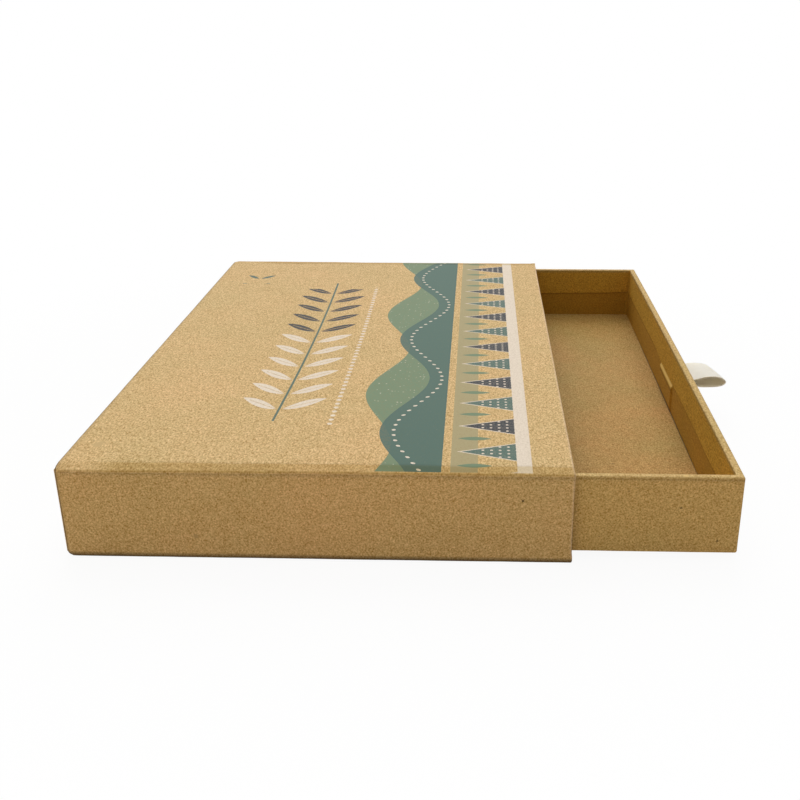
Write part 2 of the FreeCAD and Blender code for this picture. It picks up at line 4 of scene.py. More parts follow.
import bmesh
import bpy
from bpy.props import FloatProperty, FloatVectorProperty, PointerProperty
from mathutils import Matrix, Vector, noise
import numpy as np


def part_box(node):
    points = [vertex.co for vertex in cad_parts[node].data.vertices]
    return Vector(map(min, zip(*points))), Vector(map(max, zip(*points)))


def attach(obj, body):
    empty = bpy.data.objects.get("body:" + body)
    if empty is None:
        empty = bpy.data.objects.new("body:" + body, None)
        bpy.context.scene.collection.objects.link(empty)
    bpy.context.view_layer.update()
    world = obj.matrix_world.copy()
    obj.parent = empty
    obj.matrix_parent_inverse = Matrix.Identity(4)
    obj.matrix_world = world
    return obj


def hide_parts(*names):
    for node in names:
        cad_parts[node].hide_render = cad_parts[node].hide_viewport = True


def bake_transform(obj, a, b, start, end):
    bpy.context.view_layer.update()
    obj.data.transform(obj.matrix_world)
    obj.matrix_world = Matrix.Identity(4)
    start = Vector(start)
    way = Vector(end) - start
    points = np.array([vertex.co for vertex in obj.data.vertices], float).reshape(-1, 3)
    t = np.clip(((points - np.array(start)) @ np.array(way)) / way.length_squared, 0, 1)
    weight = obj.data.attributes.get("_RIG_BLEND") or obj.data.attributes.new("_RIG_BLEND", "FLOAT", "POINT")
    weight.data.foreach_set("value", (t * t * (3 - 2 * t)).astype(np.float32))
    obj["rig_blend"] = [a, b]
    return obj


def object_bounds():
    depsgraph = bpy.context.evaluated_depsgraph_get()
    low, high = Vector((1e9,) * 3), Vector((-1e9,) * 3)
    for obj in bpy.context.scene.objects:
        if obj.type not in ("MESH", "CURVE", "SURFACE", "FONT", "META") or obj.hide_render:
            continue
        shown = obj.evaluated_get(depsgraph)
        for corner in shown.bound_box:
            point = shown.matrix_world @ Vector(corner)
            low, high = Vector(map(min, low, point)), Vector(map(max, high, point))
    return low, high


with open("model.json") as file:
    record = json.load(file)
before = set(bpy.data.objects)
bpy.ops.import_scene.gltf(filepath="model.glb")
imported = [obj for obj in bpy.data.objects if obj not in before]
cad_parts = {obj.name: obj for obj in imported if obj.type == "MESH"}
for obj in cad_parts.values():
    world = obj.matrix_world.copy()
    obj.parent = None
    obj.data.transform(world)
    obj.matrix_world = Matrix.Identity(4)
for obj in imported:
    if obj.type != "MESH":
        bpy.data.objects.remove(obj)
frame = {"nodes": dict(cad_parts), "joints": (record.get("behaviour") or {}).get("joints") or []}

bl_info = {
    "name": "Drawer Gift Box",
    "version": (1, 0, 0),
    "blender": (4, 5, 0),
    "location": "View3D > Sidebar > Gift Box",
    "description": "Papers, linings, print and pull ribbon of a kraft-covered drawer box",
    "category": "Add Mesh",
}

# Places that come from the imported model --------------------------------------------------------

CAD_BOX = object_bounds()
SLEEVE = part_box("sleeve_wrap")
END_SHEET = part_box("sleeve_end_paper")
SLEEVE_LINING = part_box("sleeve_liner")
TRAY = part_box("drawer_wrap")
WALL_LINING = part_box("drawer_wall_liner")
RIBBON_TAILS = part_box("ribbon_tails")
BEND = next(joint for joint in frame["joints"] if joint["name"] == "ribbon_bend")
BEND_AXIS = Vector(BEND["pos_m"])

# Metres within which a cut meets a vertex, and within which two places are the same.
TINY = 1e-7
SAME = 2e-6

# A Mix node lists its sockets for numbers, vectors and colours one after another.
FIRST_COLOUR, SECOND_COLOUR, MIXED_COLOUR = 6, 7, 2


def srgb(red, green, blue):
    """A colour written in the usual 0 to 255 steps, as the linear colour that a shader takes."""
    def linear(step):
        share = step / 255
        return share / 12.92 if share <= 0.04045 else ((share + 0.055) / 1.055) ** 2.4
    return linear(red), linear(green), linear(blue)


def length(name, description, default):
    """A length that a user may change, in metres."""
    return FloatProperty(name=name, description=description, default=default, min=0.0,
                         unit="LENGTH", precision=5)


def colour(name, description, default):
    """A finish colour that a user may change."""
    return FloatVectorProperty(name=name, description=description, default=default, subtype="COLOR",
                               size=3, min=0.0, max=1.0)


def number(name, description, default):
    """A plain number that a user may change."""
    return FloatProperty(name=name, description=description, default=default, min=0.0)


class GiftBoxSizes(bpy.types.PropertyGroup):
    """Lengths of the papers and the ribbon"""

    paper: length("Covering paper", "Thickness of the kraft covering", 0.0002)
    lining: length("Lining paper", "Thickness of the drawer's lining", 0.00015)
    sleeve_fold: length("Sleeve fold", "Radius of the sleeve's folded edges", 0.0008)
    tray_fold: length("Drawer fold", "Radius of the drawer's folded edges", 0.0008)
    lip_round: length("Lip", "Radius of the paper where it turns over a board's edge", 0.0005)
    sleeve_turn_in: length("Sleeve turn-in", "Paper folded into the sleeve's mouth", 0.015)
    tray_turn_in: length("Drawer turn-in", "Paper folded down inside the drawer's rim", 0.0132)
    strip: length("Edge strip", "Width of the sunken strip along the sleeve's long folds", 0.0063)
    crease: length("Strip crease", "Depth of the groove that starts the strip", 0.00009)
    shoulder: length("Shoulder", "Drop of the strip from that groove to the fold", 0.00042)
    swell: length("Paper swell", "Unevenness of the pasted paper", 0.00007)
    end_swell: length("End swell", "How far the flaps push out the top of the closed end", 0.0007)
    worn_corner: length("Worn corner", "How far the sleeve's corners are knocked in", 0.0007)
    mouth_flare: length("Mouth flare", "How far the mouth's lower corners stand out", 0.00035)
    rim_pinch: length("Rim pinch", "How much thinner the drawer's walls are at their rim", 0.0007)
    wall_bow: length("Pull wall bow", "Outward bow at the middle of the pull wall", 0.0005)
    slot_length: length("Slot length", "Ribbon slot in the pull wall", 0.033)
    slot_height: length("Slot height", "Ribbon slot in the pull wall", 0.0014)
    tail_bulge: length("Tail bulge", "Lining raised by the ribbon glued behind it", 0.0008)
    ribbon_width: length("Ribbon width", "Woven ribbon", 0.020)
    ribbon_thickness: length("Ribbon thickness", "One layer of the woven ribbon", 0.00045)
    weave: length("Weave", "Distance between the ribbon's threads", 0.00042)


class GiftBoxColours(bpy.types.PropertyGroup):
    """Colours of the papers, the print and the ribbon"""

    kraft: colour("Kraft", "Covering paper of the sleeve", srgb(204, 172, 118))
    tray_kraft: colour("Tray kraft", "Covering paper of the drawer", srgb(198, 167, 107))
    lining: colour("Lining", "Kraft lining of the drawer's floor", srgb(173, 138, 77))
    # The wall lining's colour is partly its own deep kraft and partly painted shade: its blue is cut low for
    # the dim light inside the drawer.
    lining_wall: colour("Wall lining", "Kraft lining of the drawer's walls", srgb(180, 135, 48))
    greyboard: colour("Greyboard", "Recycled board under the paper", srgb(150, 138, 118))
    tape: colour("Tape", "Gummed tape round the drawer's corners", srgb(212, 198, 170))
    ribbon: colour("Ribbon", "Woven ribbon", srgb(254, 248, 226))
    green: colour("Print green", "Dark green ink", srgb(80, 105, 95))
    sage: colour("Print sage", "Light green ink", srgb(112, 134, 106))
    stone: colour("Print stone", "Grey-green ink", srgb(167, 155, 116))
    white: colour("Print white", "White ink", srgb(228, 214, 196))
    charcoal: colour("Print charcoal", "Dark ink", srgb(52, 56, 60))


class GiftBoxStage(bpy.types.PropertyGroup):
    """Camera, lamps and backdrop"""

    lens: number("Lens", "Focal length in millimetres", 46.4534)
    overhead: number("Overhead", "Strength of the broad light from above", 0.90)
    back: number("Back", "Strength of the low broad light from behind", 1.68)
    front: number("Front", "Power of the low card in front, in watts", 1.15)
    sky: number("Sky", "Strength of the even light all round", 0.345)
    sky_tint: colour("Sky tint", "Colour of the even light", (1.0, 0.93, 0.82))
    bounce: colour("Bounce", "Colour of the floor as it lights the box", (0.66, 0.57, 0.46))
    shadow: number("Shadow", "How much of the shadow on the floor shows", 0.07)


# Materials -------------------------------------------------------------------------------------

def field_math(operation, swapped=False):
    """A method that puts a Math node after a field."""
    def apply(self, *others):
        values = (*others, self) if swapped else (self, *others)
        return self.shade.math(operation, *values)
    return apply


class Field:
    """A number that varies over a surface, which takes plain arithmetic."""

    def __init__(self, shade, socket):
        self.shade = shade
        self.socket = socket

    __add__ = __radd__ = field_math("ADD")
    __mul__ = __rmul__ = field_math("MULTIPLY")
    __sub__ = field_math("SUBTRACT")
    __rsub__ = field_math("SUBTRACT", swapped=True)
    __truediv__ = field_math("DIVIDE")
    __gt__ = field_math("GREATER_THAN")
    __lt__ = field_math("LESS_THAN")
    __abs__ = field_math("ABSOLUTE")
    least = field_math("MINIMUM")
    most = field_math("MAXIMUM")
    cosine = field_math("COSINE")
    remainder = field_math("FLOORED_MODULO")

    def repeat(self, pitch):
        """Distance to the nearest of a row of lines, with its sign."""
        return self.remainder(pitch) - pitch / 2

    def between(self, low, high):
        return (self > low) * (self < high)

    def rise(self, low, high, bottom=0.0, top=1.0):
        """Goes smoothly from bottom to top as the field goes from low to high."""
        inputs = {"Value": self, "From Min": low, "From Max": high, "To Min": bottom, "To Max": top}
        node = self.shade.node("ShaderNodeMapRange", inputs, interpolation_type="SMOOTHSTEP")
        return Field(self.shade, node.outputs["Result"])


class Shade:
    """The nodes of one material or world, built up from small steps."""

    def __init__(self, owner, surface="Principled BSDF"):
        owner.use_nodes = True
        self.owner = owner
        self.tree = owner.node_tree
        self.surface = self.tree.nodes[surface]

    def feed(self, node, inputs):
        """Links fields and sockets to a node's inputs, or sets plain values on them."""
        for name, value in dict(inputs).items():
            socket = node.inputs[name]
            if isinstance(value, Field):
                value = value.socket
            if isinstance(value, bpy.types.NodeSocket):
                self.tree.links.new(value, socket)
            elif socket.type == "RGBA":
                socket.default_value = (*value, 1.0)
            else:
                socket.default_value = value

    def node(self, kind, inputs=(), **settings):
        """Adds a node with its settings and inputs."""
        node = self.tree.nodes.new(kind)
        for name, value in settings.items():
            setattr(node, name, value)
        self.feed(node, inputs)
        return node

    def math(self, operation, *values):
        node = self.node("ShaderNodeMath", enumerate(values), operation=operation)
        return Field(self, node.outputs["Value"])

    def mix(self, share, first, second, blend="MIX"):
        """A colour between two colours."""
        inputs = {"Factor": share, FIRST_COLOUR: first, SECOND_COLOUR: second}
        node = self.node("ShaderNodeMix", inputs, data_type="RGBA", blend_type=blend)
        return node.outputs[MIXED_COLOUR]

    def scaled(self, tint, share):
        """A colour times a number."""
        node = self.node("ShaderNodeVectorMath", {0: tint, "Scale": share}, operation="SCALE")
        return node.outputs[0]

    def place(self, output="Object"):
        return self.node("ShaderNodeTexCoord").outputs[output]

    def distance(self, place, centre):
        node = self.node("ShaderNodeVectorMath", {0: place, 1: centre}, operation="DISTANCE")
        return Field(self, node.outputs["Value"])

    def shifted(self, place, shift=(0.0, 0.0, 0.0), turn=(0.0, 0.0, 0.0), stretch=(1.0, 1.0, 1.0)):
        inputs = {"Vector": place, "Location": shift, "Rotation": turn, "Scale": stretch}
        return self.node("ShaderNodeMapping", inputs).outputs["Vector"]

    def axes(self, place):
        node = self.node("ShaderNodeSeparateXYZ", {0: place})
        return [Field(self, part) for part in node.outputs]

    def grain(self, place, size, detail=2.0, roughness=0.5):
        """Soft random mottling whose blots are about size across."""
        inputs = {"Vector": place, "Scale": 1.0 / size, "Detail": detail, "Roughness": roughness}
        return Field(self, self.node("ShaderNodeTexNoise", inputs).outputs["Fac"])

    def spots(self, place, spacing):
        """Distance to scattered points, in shares of their spacing, and a random number each."""
        node = self.node("ShaderNodeTexVoronoi", {"Vector": place, "Scale": 1.0 / spacing})
        lot = self.node("ShaderNodeSeparateColor", {0: node.outputs["Color"]})
        return Field(self, node.outputs["Distance"]), Field(self, lot.outputs[0])

    def attribute(self, name):
        return Field(self, self.node("ShaderNodeAttribute", attribute_name=name).outputs["Fac"])

    def relief(self, height, depth):
        """Raises the surface by height times depth metres."""
        node = self.node("ShaderNodeBump", {"Strength": 1.0, "Distance": depth, "Height": height})
        self.feed(self.surface, {"Normal": node.outputs["Normal"]})

    def paint(self, tint):
        self.feed(self.surface, {"Base Color": tint})


def new_shade(name, roughness, specular):
    """A new material with a plain surface."""
    shade = Shade(bpy.data.materials.new(name))
    shade.feed(shade.surface, {"Roughness": roughness, "Specular IOR Level": specular})
    return shade


def fibres(shade, place, spread, width, share):
    """Short curled threads: thin level lines of a mottling, broken up by another."""
    line = abs(shade.grain(place, spread, detail=0.0) - 0.5) < width
    beside = shade.shifted(place, shift=(0.37, 0.11, 0.23))
    return line * (shade.grain(beside, spread * 0.7, detail=0.0) > share)


def tinted(tint, *factors):
    """A colour with each of its parts times a factor, kept at 1 or less."""
    return tuple(min(1.0, part * factor) for part, factor in zip(tint, factors * 3))


# Tones as factors of a paper's colour: one for all of it, or one each for red, green and blue.
DARKEST_PULP, PALEST_PULP = (0.50, 0.38, 0.07), (1.50, 1.62, 1.93)
DARK_THREAD, PALE_THREAD = (0.55,), (1.28,)
FLECK = (0.38, 0.34, 0.30)
RUBBED = (1.22,)
PALE_WORN_AND_LIT = (1.75, 2.20, 5.0)

# Painted shade: the same paper on the drawer's inner sides is made deeper and redder, for the shade inside
# the drawer; the sleeve's strips take some of it too.
PAINTED_INNER_SHADE = (0.98, 0.80, 0.26)


def pulp(shade, place, tint, strength, blotch):
    """Kraft pulp: clouds, fine mottling, threads and flecks over one colour."""
    clouds = shade.grain(place, 0.045)
    drift = shade.grain(shade.shifted(place, shift=(0.5, 0.2, 0.7)), 0.009)
    machine = shade.shifted(place, turn=(0.5, 0.4, 0.3), stretch=(1.0, 0.5, 1.0))
    mottle = shade.grain(machine, 0.00062, roughness=0.60)
    warm = shade.grain(shade.shifted(place, shift=(0.3, 0.9, 0.1)), 0.0040)
    level = (0.5 + (mottle - 0.5) * (1.75 * strength) + (clouds - 0.5) * (0.10 * strength)
             + (drift - 0.5) * (0.12 * strength)).least(1.0).most(0.0)
    hue = (warm - 0.5) * 0.6 + (clouds - 0.5) * 1.7 + 0.5
    green = (1.0 - 0.030 * blotch, 1.0 + 0.008 * blotch, 1.0)
    rose = (1.0 + 0.028 * blotch, 1.0 - 0.016 * blotch, 1.0 - 0.020 * blotch)
    paper = shade.mix(level, tinted(tint, *DARKEST_PULP), tinted(tint, *PALEST_PULP))
    paper = shade.mix(1.0, paper, shade.mix(hue, green, rose), blend="MULTIPLY")
    dark_threads = fibres(shade, place, spread=0.0030, width=0.010, share=0.60)
    elsewhere = shade.shifted(place, shift=(0.7, 0.4, 0.6))
    pale_threads = fibres(shade, elsewhere, spread=0.0027, width=0.009, share=0.61)
    paper = shade.mix(dark_threads * 0.34, paper, tinted(tint, *DARK_THREAD))
    paper = shade.mix(pale_threads * 0.40, paper, tinted(tint, *PALE_THREAD))
    near, lot = shade.spots(shade.shifted(place, turn=(0.3, 0.5, 0.2)), 0.0060)
    fleck = (near < (lot - 0.86) * 0.62) * 0.60
    return shade.mix(fleck, paper, tinted(tint, *FLECK)), mottle


# Coarse bits in the papers: centre and radius in metres, and their tone beside the paper's.
SLEEVE_BITS = (
    ((0.0756, -0.1500, 0.0256), 0.00060, 0.22), ((0.0051, 0.1141, 0.0365), 0.00080, 0.45),
    ((0.0257, -0.0396, 0.0365), 0.00060, 0.50), ((0.0273, -0.0435, 0.0365), 0.00055, 0.50),
    ((-0.0447, -0.1500, 0.0093), 0.00110, 0.78), ((-0.0850, -0.1290, 0.0365), 0.00300, 0.93),
)
TRAY_BITS = (
    ((0.1334, -0.1459, 0.0214), 0.00060, 0.40), ((0.1477, -0.1459, 0.0079), 0.00060, 0.40),
    ((0.1345, -0.1447, 0.0337), 0.00120, 1.25),
)


def kraft(name, tint, strength=1.0, blotch=1.0, printed=None, marks=()):
    """Matt brown paper, worn pale along its folds, with a few coarse bits in the sheet, and painted light
    and shade where a piece marks them.
    """
    shade = new_shade(name, roughness=0.72, specular=0.15)
    place = shade.place()
    paper, mottle = pulp(shade, place, tint, strength, blotch)
    for centre, radius, factor in marks:
        bit = shade.distance(place, centre) + (mottle - 0.5) * radius
        paper = shade.mix(bit.rise(radius * 0.5, radius, 1.0, 0.0), paper, tinted(tint, factor))
    if printed:
        paper = ink(shade, place, paper, mottle, printed)
    rub = shade.attribute("wear") * shade.grain(place, 0.0016).rise(0.42, 0.62)
    paper = shade.mix(rub * 0.38, paper, tinted(tint, *RUBBED))
    # Painted shade: paper marked as inner is deeper and redder.
    paper = shade.mix(shade.attribute("inner"), paper, PAINTED_INNER_SHADE, blend="MULTIPLY")
    # Paler paper: worn through at the sleeve's mouth, and painted light on the raised lip of the lining's
    # slit.
    paper = shade.mix(shade.attribute("bare"), paper, tinted(tint, *PALE_WORN_AND_LIT))
    # Painted shade: the paper is darker along fold lines, grooves, rims and gaps, and over the sleeve's
    # strips.
    shade.paint(shade.scaled(paper, (1.0 - shade.attribute("pressed") * 0.24).most(0.2)))
    shade.relief(mottle, depth=0.00003)
    return shade.owner


def recycled_board(name, tint):
    """Recycled board: grey pulp with dark and pale bits."""
    shade = new_shade(name, roughness=0.9, specular=0.2)
    place = shade.place()
    mottle = shade.grain(place, 0.0007, detail=3.0, roughness=0.7)
    paper = shade.scaled(tint, 0.75 + mottle * 0.5)
    dark = fibres(shade, place, spread=0.0022, width=0.014, share=0.56)
    shade.paint(shade.mix(dark * 0.6, paper, tinted(tint, 0.4)))
    shade.relief(mottle, depth=0.00008)
    return shade.owner


# Distance between the tape's ribs, and the width of the ribbon's tighter edge.
TAPE_RIB = 0.0009
SELVEDGE = 0.0011


def gummed_tape(name, tint):
    """Thin tape with a faint machine-made rib."""
    shade = new_shade(name, roughness=0.6, specular=0.3)
    place = shade.place()
    height = shade.axes(place)[2]
    rib = (height * (2 * math.pi / TAPE_RIB)).cosine() * 0.5 + 0.5
    mottle = shade.grain(place, 0.0008)
    shade.paint(shade.scaled(tint, 0.9 + mottle * 0.16 + rib * 0.03))
    shade.relief(rib, depth=0.00002)
    return shade.owner


def ribbon_weave(name, tint, pitch, width):
    """Plain weave with a finer, tighter edge on both sides."""
    shade = new_shade(name, roughness=0.62, specular=0.4)
    along, across = shade.axes(shade.place("UV"))[:2]
    turn = 2 * math.pi / pitch
    warp = (across * turn).cosine()
    weft = (along * turn * 0.5).cosine()
    weave = (warp * weft) * 0.5 + 0.5
    selvedge = abs(across - width / 2) > width / 2 - SELVEDGE
    slub = shade.grain(shade.place(), 0.004)
    tone = 0.93 + weave * 0.07 + (slub - 0.5) * 0.08 - selvedge * 0.03
    shade.paint(shade.scaled(tint, tone))
    shade.relief(weave * (1.0 - selvedge * 0.5), depth=0.00006)
    shade.feed(shade.surface, {"Sheen Weight": 0.25, "Sheen Roughness": 0.5,
                               "Subsurface Weight": 0.5, "Subsurface Scale": 1.0,
                               "Subsurface Radius": (0.0040, 0.0037, 0.0028)})
    return shade.owner


# Print on the sleeve's top ---------------------------------------------------------------------

# Half the width of a leaf's midrib, and how far the ink bleeds unevenly into the paper.
MIDRIB = 0.00022
BLEED = 0.00022


def leaf_row(along, across, pitch, slant, start, reach, width):
    """Slanted leaves on both sides of a stem: 1 inside a leaf, and 1 on its midrib."""
    out = abs(across)
    beside = (along - out * slant).repeat(pitch)
    from_middle = (out - start - reach / 2) / (reach / 2)
    profile = (1.0 - from_middle * from_middle) * (width / 2)
    return abs(beside) < profile, (abs(beside) < MIDRIB) * (out < start + reach * 0.8)


def dots(first, second, radius):
    """Round dots where both distances are short."""
    return (first * first + second * second) < radius ** 2


def ink(shade, place, paper, mottle, colours):
    """The generic print: two waves, plain stripes, a pennant border and a leaf sprig."""
    along_x, along_y, height = shade.axes(place)
    bleed = (mottle - 0.5) * BLEED
    from_end = along_x - SLEEVE[0].x + bleed
    across = along_y + bleed
    long = SLEEVE[1].x - SLEEVE[0].x
    half = SLEEVE[1].y
    top = (height > SLEEVE[1].z * 0.9) * (abs(along_y) < half - 0.0010)

    def lay(mask, tint, cover=0.95):
        nonlocal paper
        share = mask * top * (cover + (mottle - 0.5) * 0.5).least(1.0)
        paper = shade.mix(share, paper, shade.scaled(tint, 0.86 + mottle * 0.28))

    # Two waves of green along the drawer's side of the top.
    wave = 2 * math.pi / (0.75 * half)
    near_wave = 0.655 * long - (across * wave).cosine() * (0.045 * long)
    far_wave = 0.600 * long + (across * wave + 0.9).cosine() * (0.040 * long)
    green_end = 0.745 * long
    lay(from_end.between(0.0, green_end) * (from_end > far_wave), colours.sage)
    near, lot = shade.spots(place, 0.0016)
    stipple = (near < (lot - 0.35) * 0.42) * (from_end > far_wave) * (from_end < green_end)
    lay(stipple, colours.white, 0.45)
    lay(from_end.between(0.0, green_end) * (from_end > near_wave), colours.green)

    # A stitched line of dots follows the nearer wave.
    lay(dots(from_end - near_wave - 0.0055, across.repeat(0.005), 0.0008), colours.white)

    # Plain stripes across the top.
    border = 0.891 * long
    lay(from_end.between(0.762 * long, 0.815 * long), colours.stone)
    lay(from_end.between(border, 0.920 * long), colours.white)

    # Pennants with dots stand on the white stripe, and small leaves lie between them.
    pitch, tall, slope = 0.024, 0.0205, 0.36
    cell = across.repeat(pitch)
    reach = border - from_end
    pennant = (abs(cell) < (tall - reach) * slope) * (reach > 0.0)
    edge = (abs(cell) < (tall + 0.0017 - reach) * slope) * (reach > 0.0)
    odd = (across + pitch * 40).remainder(pitch * 2) > pitch
    lay(edge, colours.white, 0.8)
    lay(pennant * odd, colours.charcoal)
    lay(pennant * (1.0 - odd), colours.green)
    row = (reach - 0.0012).repeat(0.0032)
    lay(pennant * dots(row, cell.repeat(0.0030), 0.00055) * (reach < 0.015), colours.white)
    middle = (reach - 0.0155) / 0.0065
    lay(abs((across + pitch / 2).repeat(pitch)) < (1.0 - middle * middle) * 0.0016, colours.sage)

    # A sprig of leaves runs from front to back, and fine dots beside it.
    stem = from_end - 0.365 * long - (across * 9.0).cosine() * 0.004
    leaf, midrib = leaf_row(across, stem, pitch=0.017, slant=0.75, start=0.0012, reach=0.0165,
                            width=0.0072)
    leaf = leaf * (1.0 - midrib) * across.between(-0.62 * half, 0.58 * half)
    change = 0.06 * half
    lay(leaf * (across < change), colours.white)
    lay(leaf * (across > change), colours.charcoal)
    lay((abs(stem) < 0.0005) * across.between(-0.70 * half, 0.66 * half), colours.green)
    beside = from_end - 0.492 * long - (across * 9.0).cosine() * 0.003
    beads = dots(beside, across.repeat(0.0042), 0.00105)
    lay(beads * across.between(-0.72 * half, 0.60 * half), colours.white)

    # One small leaf pair near the closed end.
    spot = across - 0.72 * half
    pair, _ = leaf_row(spot + 0.0085, from_end - 0.125 * long, pitch=0.017, slant=0.9,
                       start=0.0006, reach=0.0075, width=0.0042)
    lay(pair * (abs(spot) < 0.0105), colours.green)
    return paper


# Mesh steps ------------------------------------------------------------------------------------

def new_block(low, high):
    """A closed box mesh between two corners."""
    mesh = bmesh.new()
    bmesh.ops.create_cube(mesh, size=1.0)
    place = Matrix.Translation((low + high) / 2) @ Matrix.Diagonal((*(high - low), 1.0))
    bmesh.ops.transform(mesh, matrix=place, verts=mesh.verts)
    return mesh


def open_side(mesh, axis, side):
    """Takes away the faces that lie on one side of a box."""
    gone = [face for face in mesh.faces if all(abs(v.co[axis] - side) < SAME for v in face.verts)]
    bmesh.ops.delete(mesh, geom=gone, context="FACES")


def round_edges(mesh, edges, radius, segments):
    """Turns sharp edges into round folds."""
    bmesh.ops.bevel(mesh, geom=edges, offset=radius, offset_type="OFFSET", segments=segments,
                    profile=0.5, affect="EDGES", material=-1, clamp_overlap=False)


def paper_box(low, high, opening, lip, fold, segments):
    """A paper box with round folds, open at the high end of an axis and shorter there by a lip."""
    rim = high.copy()
    rim[opening] -= lip
    mesh = new_block(low, rim)
    folds = [edge for edge in mesh.edges
             if any(vertex.co[opening] < rim[opening] - SAME for vertex in edge.verts)]
    round_edges(mesh, folds, fold, segments)
    open_side(mesh, opening, rim[opening])
    return mesh


def cut_across(mesh, **cuts):
    """Cuts loops of edges right round the mesh at each place along each named axis."""
    for axis, places in cuts.items():
        normal = Vector((axis == "x", axis == "y", axis == "z"))
        for place in places:
            everything = mesh.verts[:] + mesh.edges[:] + mesh.faces[:]
            bmesh.ops.bisect_plane(mesh, geom=everything, dist=TINY, plane_co=normal * place,
                                   plane_no=normal)


def ladder(low, high, pitch):
    """Evenly spaced places between two ends."""
    count = max(1, round((high - low) / pitch))
    return [low + (high - low) * step / count for step in range(1, count)]


def rungs(start, pitch, first, last):
    """Places at whole numbers of pitches from a start."""
    return [start + step * pitch for step in range(first, last + 1)]


def mirrored(places):
    """Places on the one side of the middle, and then the same on the other side."""
    return [side * place for side in (-1, 1) for place in places]


def new_layers(mesh, *names):
    """Number layers on the vertices, which materials read by name."""
    for name in names:
        mesh.verts.layers.float.new(name)
    return [mesh.verts.layers.float[name] for name in names]


def at_rest(mesh):
    """Each vertex with its place and its normal before any of them moves."""
    mesh.normal_update()
    return [(vertex, vertex.co.copy(), vertex.normal.copy()) for vertex in mesh.verts]


def clamp(value, low=0.0, high=1.0):
    """The value, kept between two ends."""
    return max(low, min(high, value))


def ease(value):
    """Smooth step from 0 to 1."""
    value = clamp(value)
    return value * value * (3.0 - 2.0 * value)


def bump(distance, width):
    """A soft bump of height 1 at no distance."""
    return math.exp(-(distance / width) ** 2)


def inset_point(point, low, high, fold, insets):
    """A point of a round-cornered outline, moved inwards on each axis by its own inset."""
    moved = point.copy()
    for axis, inset in insets.items():
        core = clamp(point[axis], low[axis] + fold, high[axis] - fold)
        moved[axis] = core + (point[axis] - core) * max(0.0, (fold - inset) / fold)
        moved[axis] = clamp(moved[axis], low[axis] + inset, high[axis] - inset)
    return moved


def turned_lip(width_of_lip, radius, reach, steps):
    """The path of paper over a board's edge: pairs of inset and depth, from the outer edge."""
    arc = [step * math.pi / 2 / 4 for step in range(1, 5)]
    up = [(radius * (1 - math.cos(angle)), radius * (1 - math.sin(angle))) for angle in arc]
    over = [(width_of_lip - radius + radius * math.sin(angle), radius * (1 - math.cos(angle)))
            for angle in [0.0] + arc]
    straight = reach - radius
    down = [(width_of_lip, radius + straight * step / steps) for step in range(1, steps + 1)]
    return up + [(width_of_lip / 2, 0.0)] + over + down


def turn_over(mesh, opening, box, fold, path, ragged, narrow=(1.0, 1.0, 1.0)):
    """Extrudes the open edge of a paper box along a path that folds over and back inside."""
    low, high = box
    axes = [axis for axis in range(3) if axis != opening]
    rim = [edge for edge in mesh.edges if edge.is_boundary]
    starts = {vertex: vertex.co.copy() for edge in rim for vertex in edge.verts}
    deepest = path[-1][1]
    for inset, depth in path:
        bmesh.ops.extrude_edge_only(mesh, edges=rim)
        rim = [edge for edge in mesh.edges if edge.is_boundary]
        fresh = {}
        for vertex in {vertex for edge in rim for vertex in edge.verts}:
            others = [edge.other_vert(vertex) for edge in vertex.link_edges]
            fresh[vertex] = next(starts[other] for other in others if other in starts)
        insets = {axis: inset * narrow[axis] for axis in axes}
        for vertex, start in fresh.items():
            vertex.co = inset_point(start, low, high, fold, insets)
            vertex.co[opening] = high[opening] - depth - ragged(start) * depth / deepest
        starts = fresh
    bmesh.ops.remove_doubles(mesh, verts=mesh.verts, dist=SAME)


def thicken(mesh, thickness):
    """Gives the paper its thickness, behind the side that shows."""
    bmesh.ops.solidify(mesh, geom=mesh.faces[:], thickness=thickness)


def new_object(name, data):
    """A new object in the scene."""
    item = bpy.data.objects.new(name, data)
    bpy.context.scene.collection.objects.link(item)
    return item


def finish_piece(mesh, name, material, body, *nodes, slot, sharp=40.0):
    """Turns a mesh into a finished piece that rides on its body and stands for its nodes."""
    data = bpy.data.meshes.new(name)
    for face in mesh.faces:
        face.smooth = True
    mesh.to_mesh(data)
    mesh.free()
    data.set_sharp_from_angle(angle=math.radians(sharp))
    data.materials.append(material)
    piece = new_object(name, data)
    if body:
        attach(piece, body)
    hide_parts(*nodes)
    return piece


def dress(material, *names):
    """Gives CAD nodes a material."""
    for name in names:
        data = frame["nodes"][name].data
        data.materials.clear()
        data.materials.append(material)


def finish_named(make, name, *values, **options):
    """The named finish, made the first time it is asked for."""
    return bpy.data.materials.get(name) or make(name, *values, **options)


def greyboard(colours):
    """The finish of all boards."""
    return finish_named(recycled_board, "recycled_board", colours.greyboard)


def choices(context):
    """The sizes and the colours that are set in the scene."""
    return context.scene.giftbox_sizes, context.scene.giftbox_colours


def shaped_board(context, node, name, body, form, **cuts):
    """A copy of a packed board, cut finer and brought to the same form as the paper over it."""
    sizes, colours = choices(context)
    mesh = bmesh.new()
    mesh.from_mesh(frame["nodes"][node].data)
    bmesh.ops.remove_doubles(mesh, verts=mesh.verts, dist=SAME)
    cut_across(mesh, **cuts)
    for vertex in mesh.verts:
        vertex.co += form(vertex.co, sizes)
    finish_piece(mesh, name, greyboard(colours), body, node, slot="greyboard", sharp=30.0)


# Sleeve ----------------------------------------------------------------------------------------

# Where the groove behind the sleeve's closed end lies, and the cuts on both sides of it.
END_GROOVE = 0.0035
GROOVE_CUTS = (-0.0010, -0.0006, -0.0003, 0.0, 0.0003, 0.0006, 0.0010)

# Paper further in than this from the sleeve's sides, top and foot is turned in and stays flat.
TURNED_IN_Y = 0.0034
TURNED_IN_Z = 0.0024

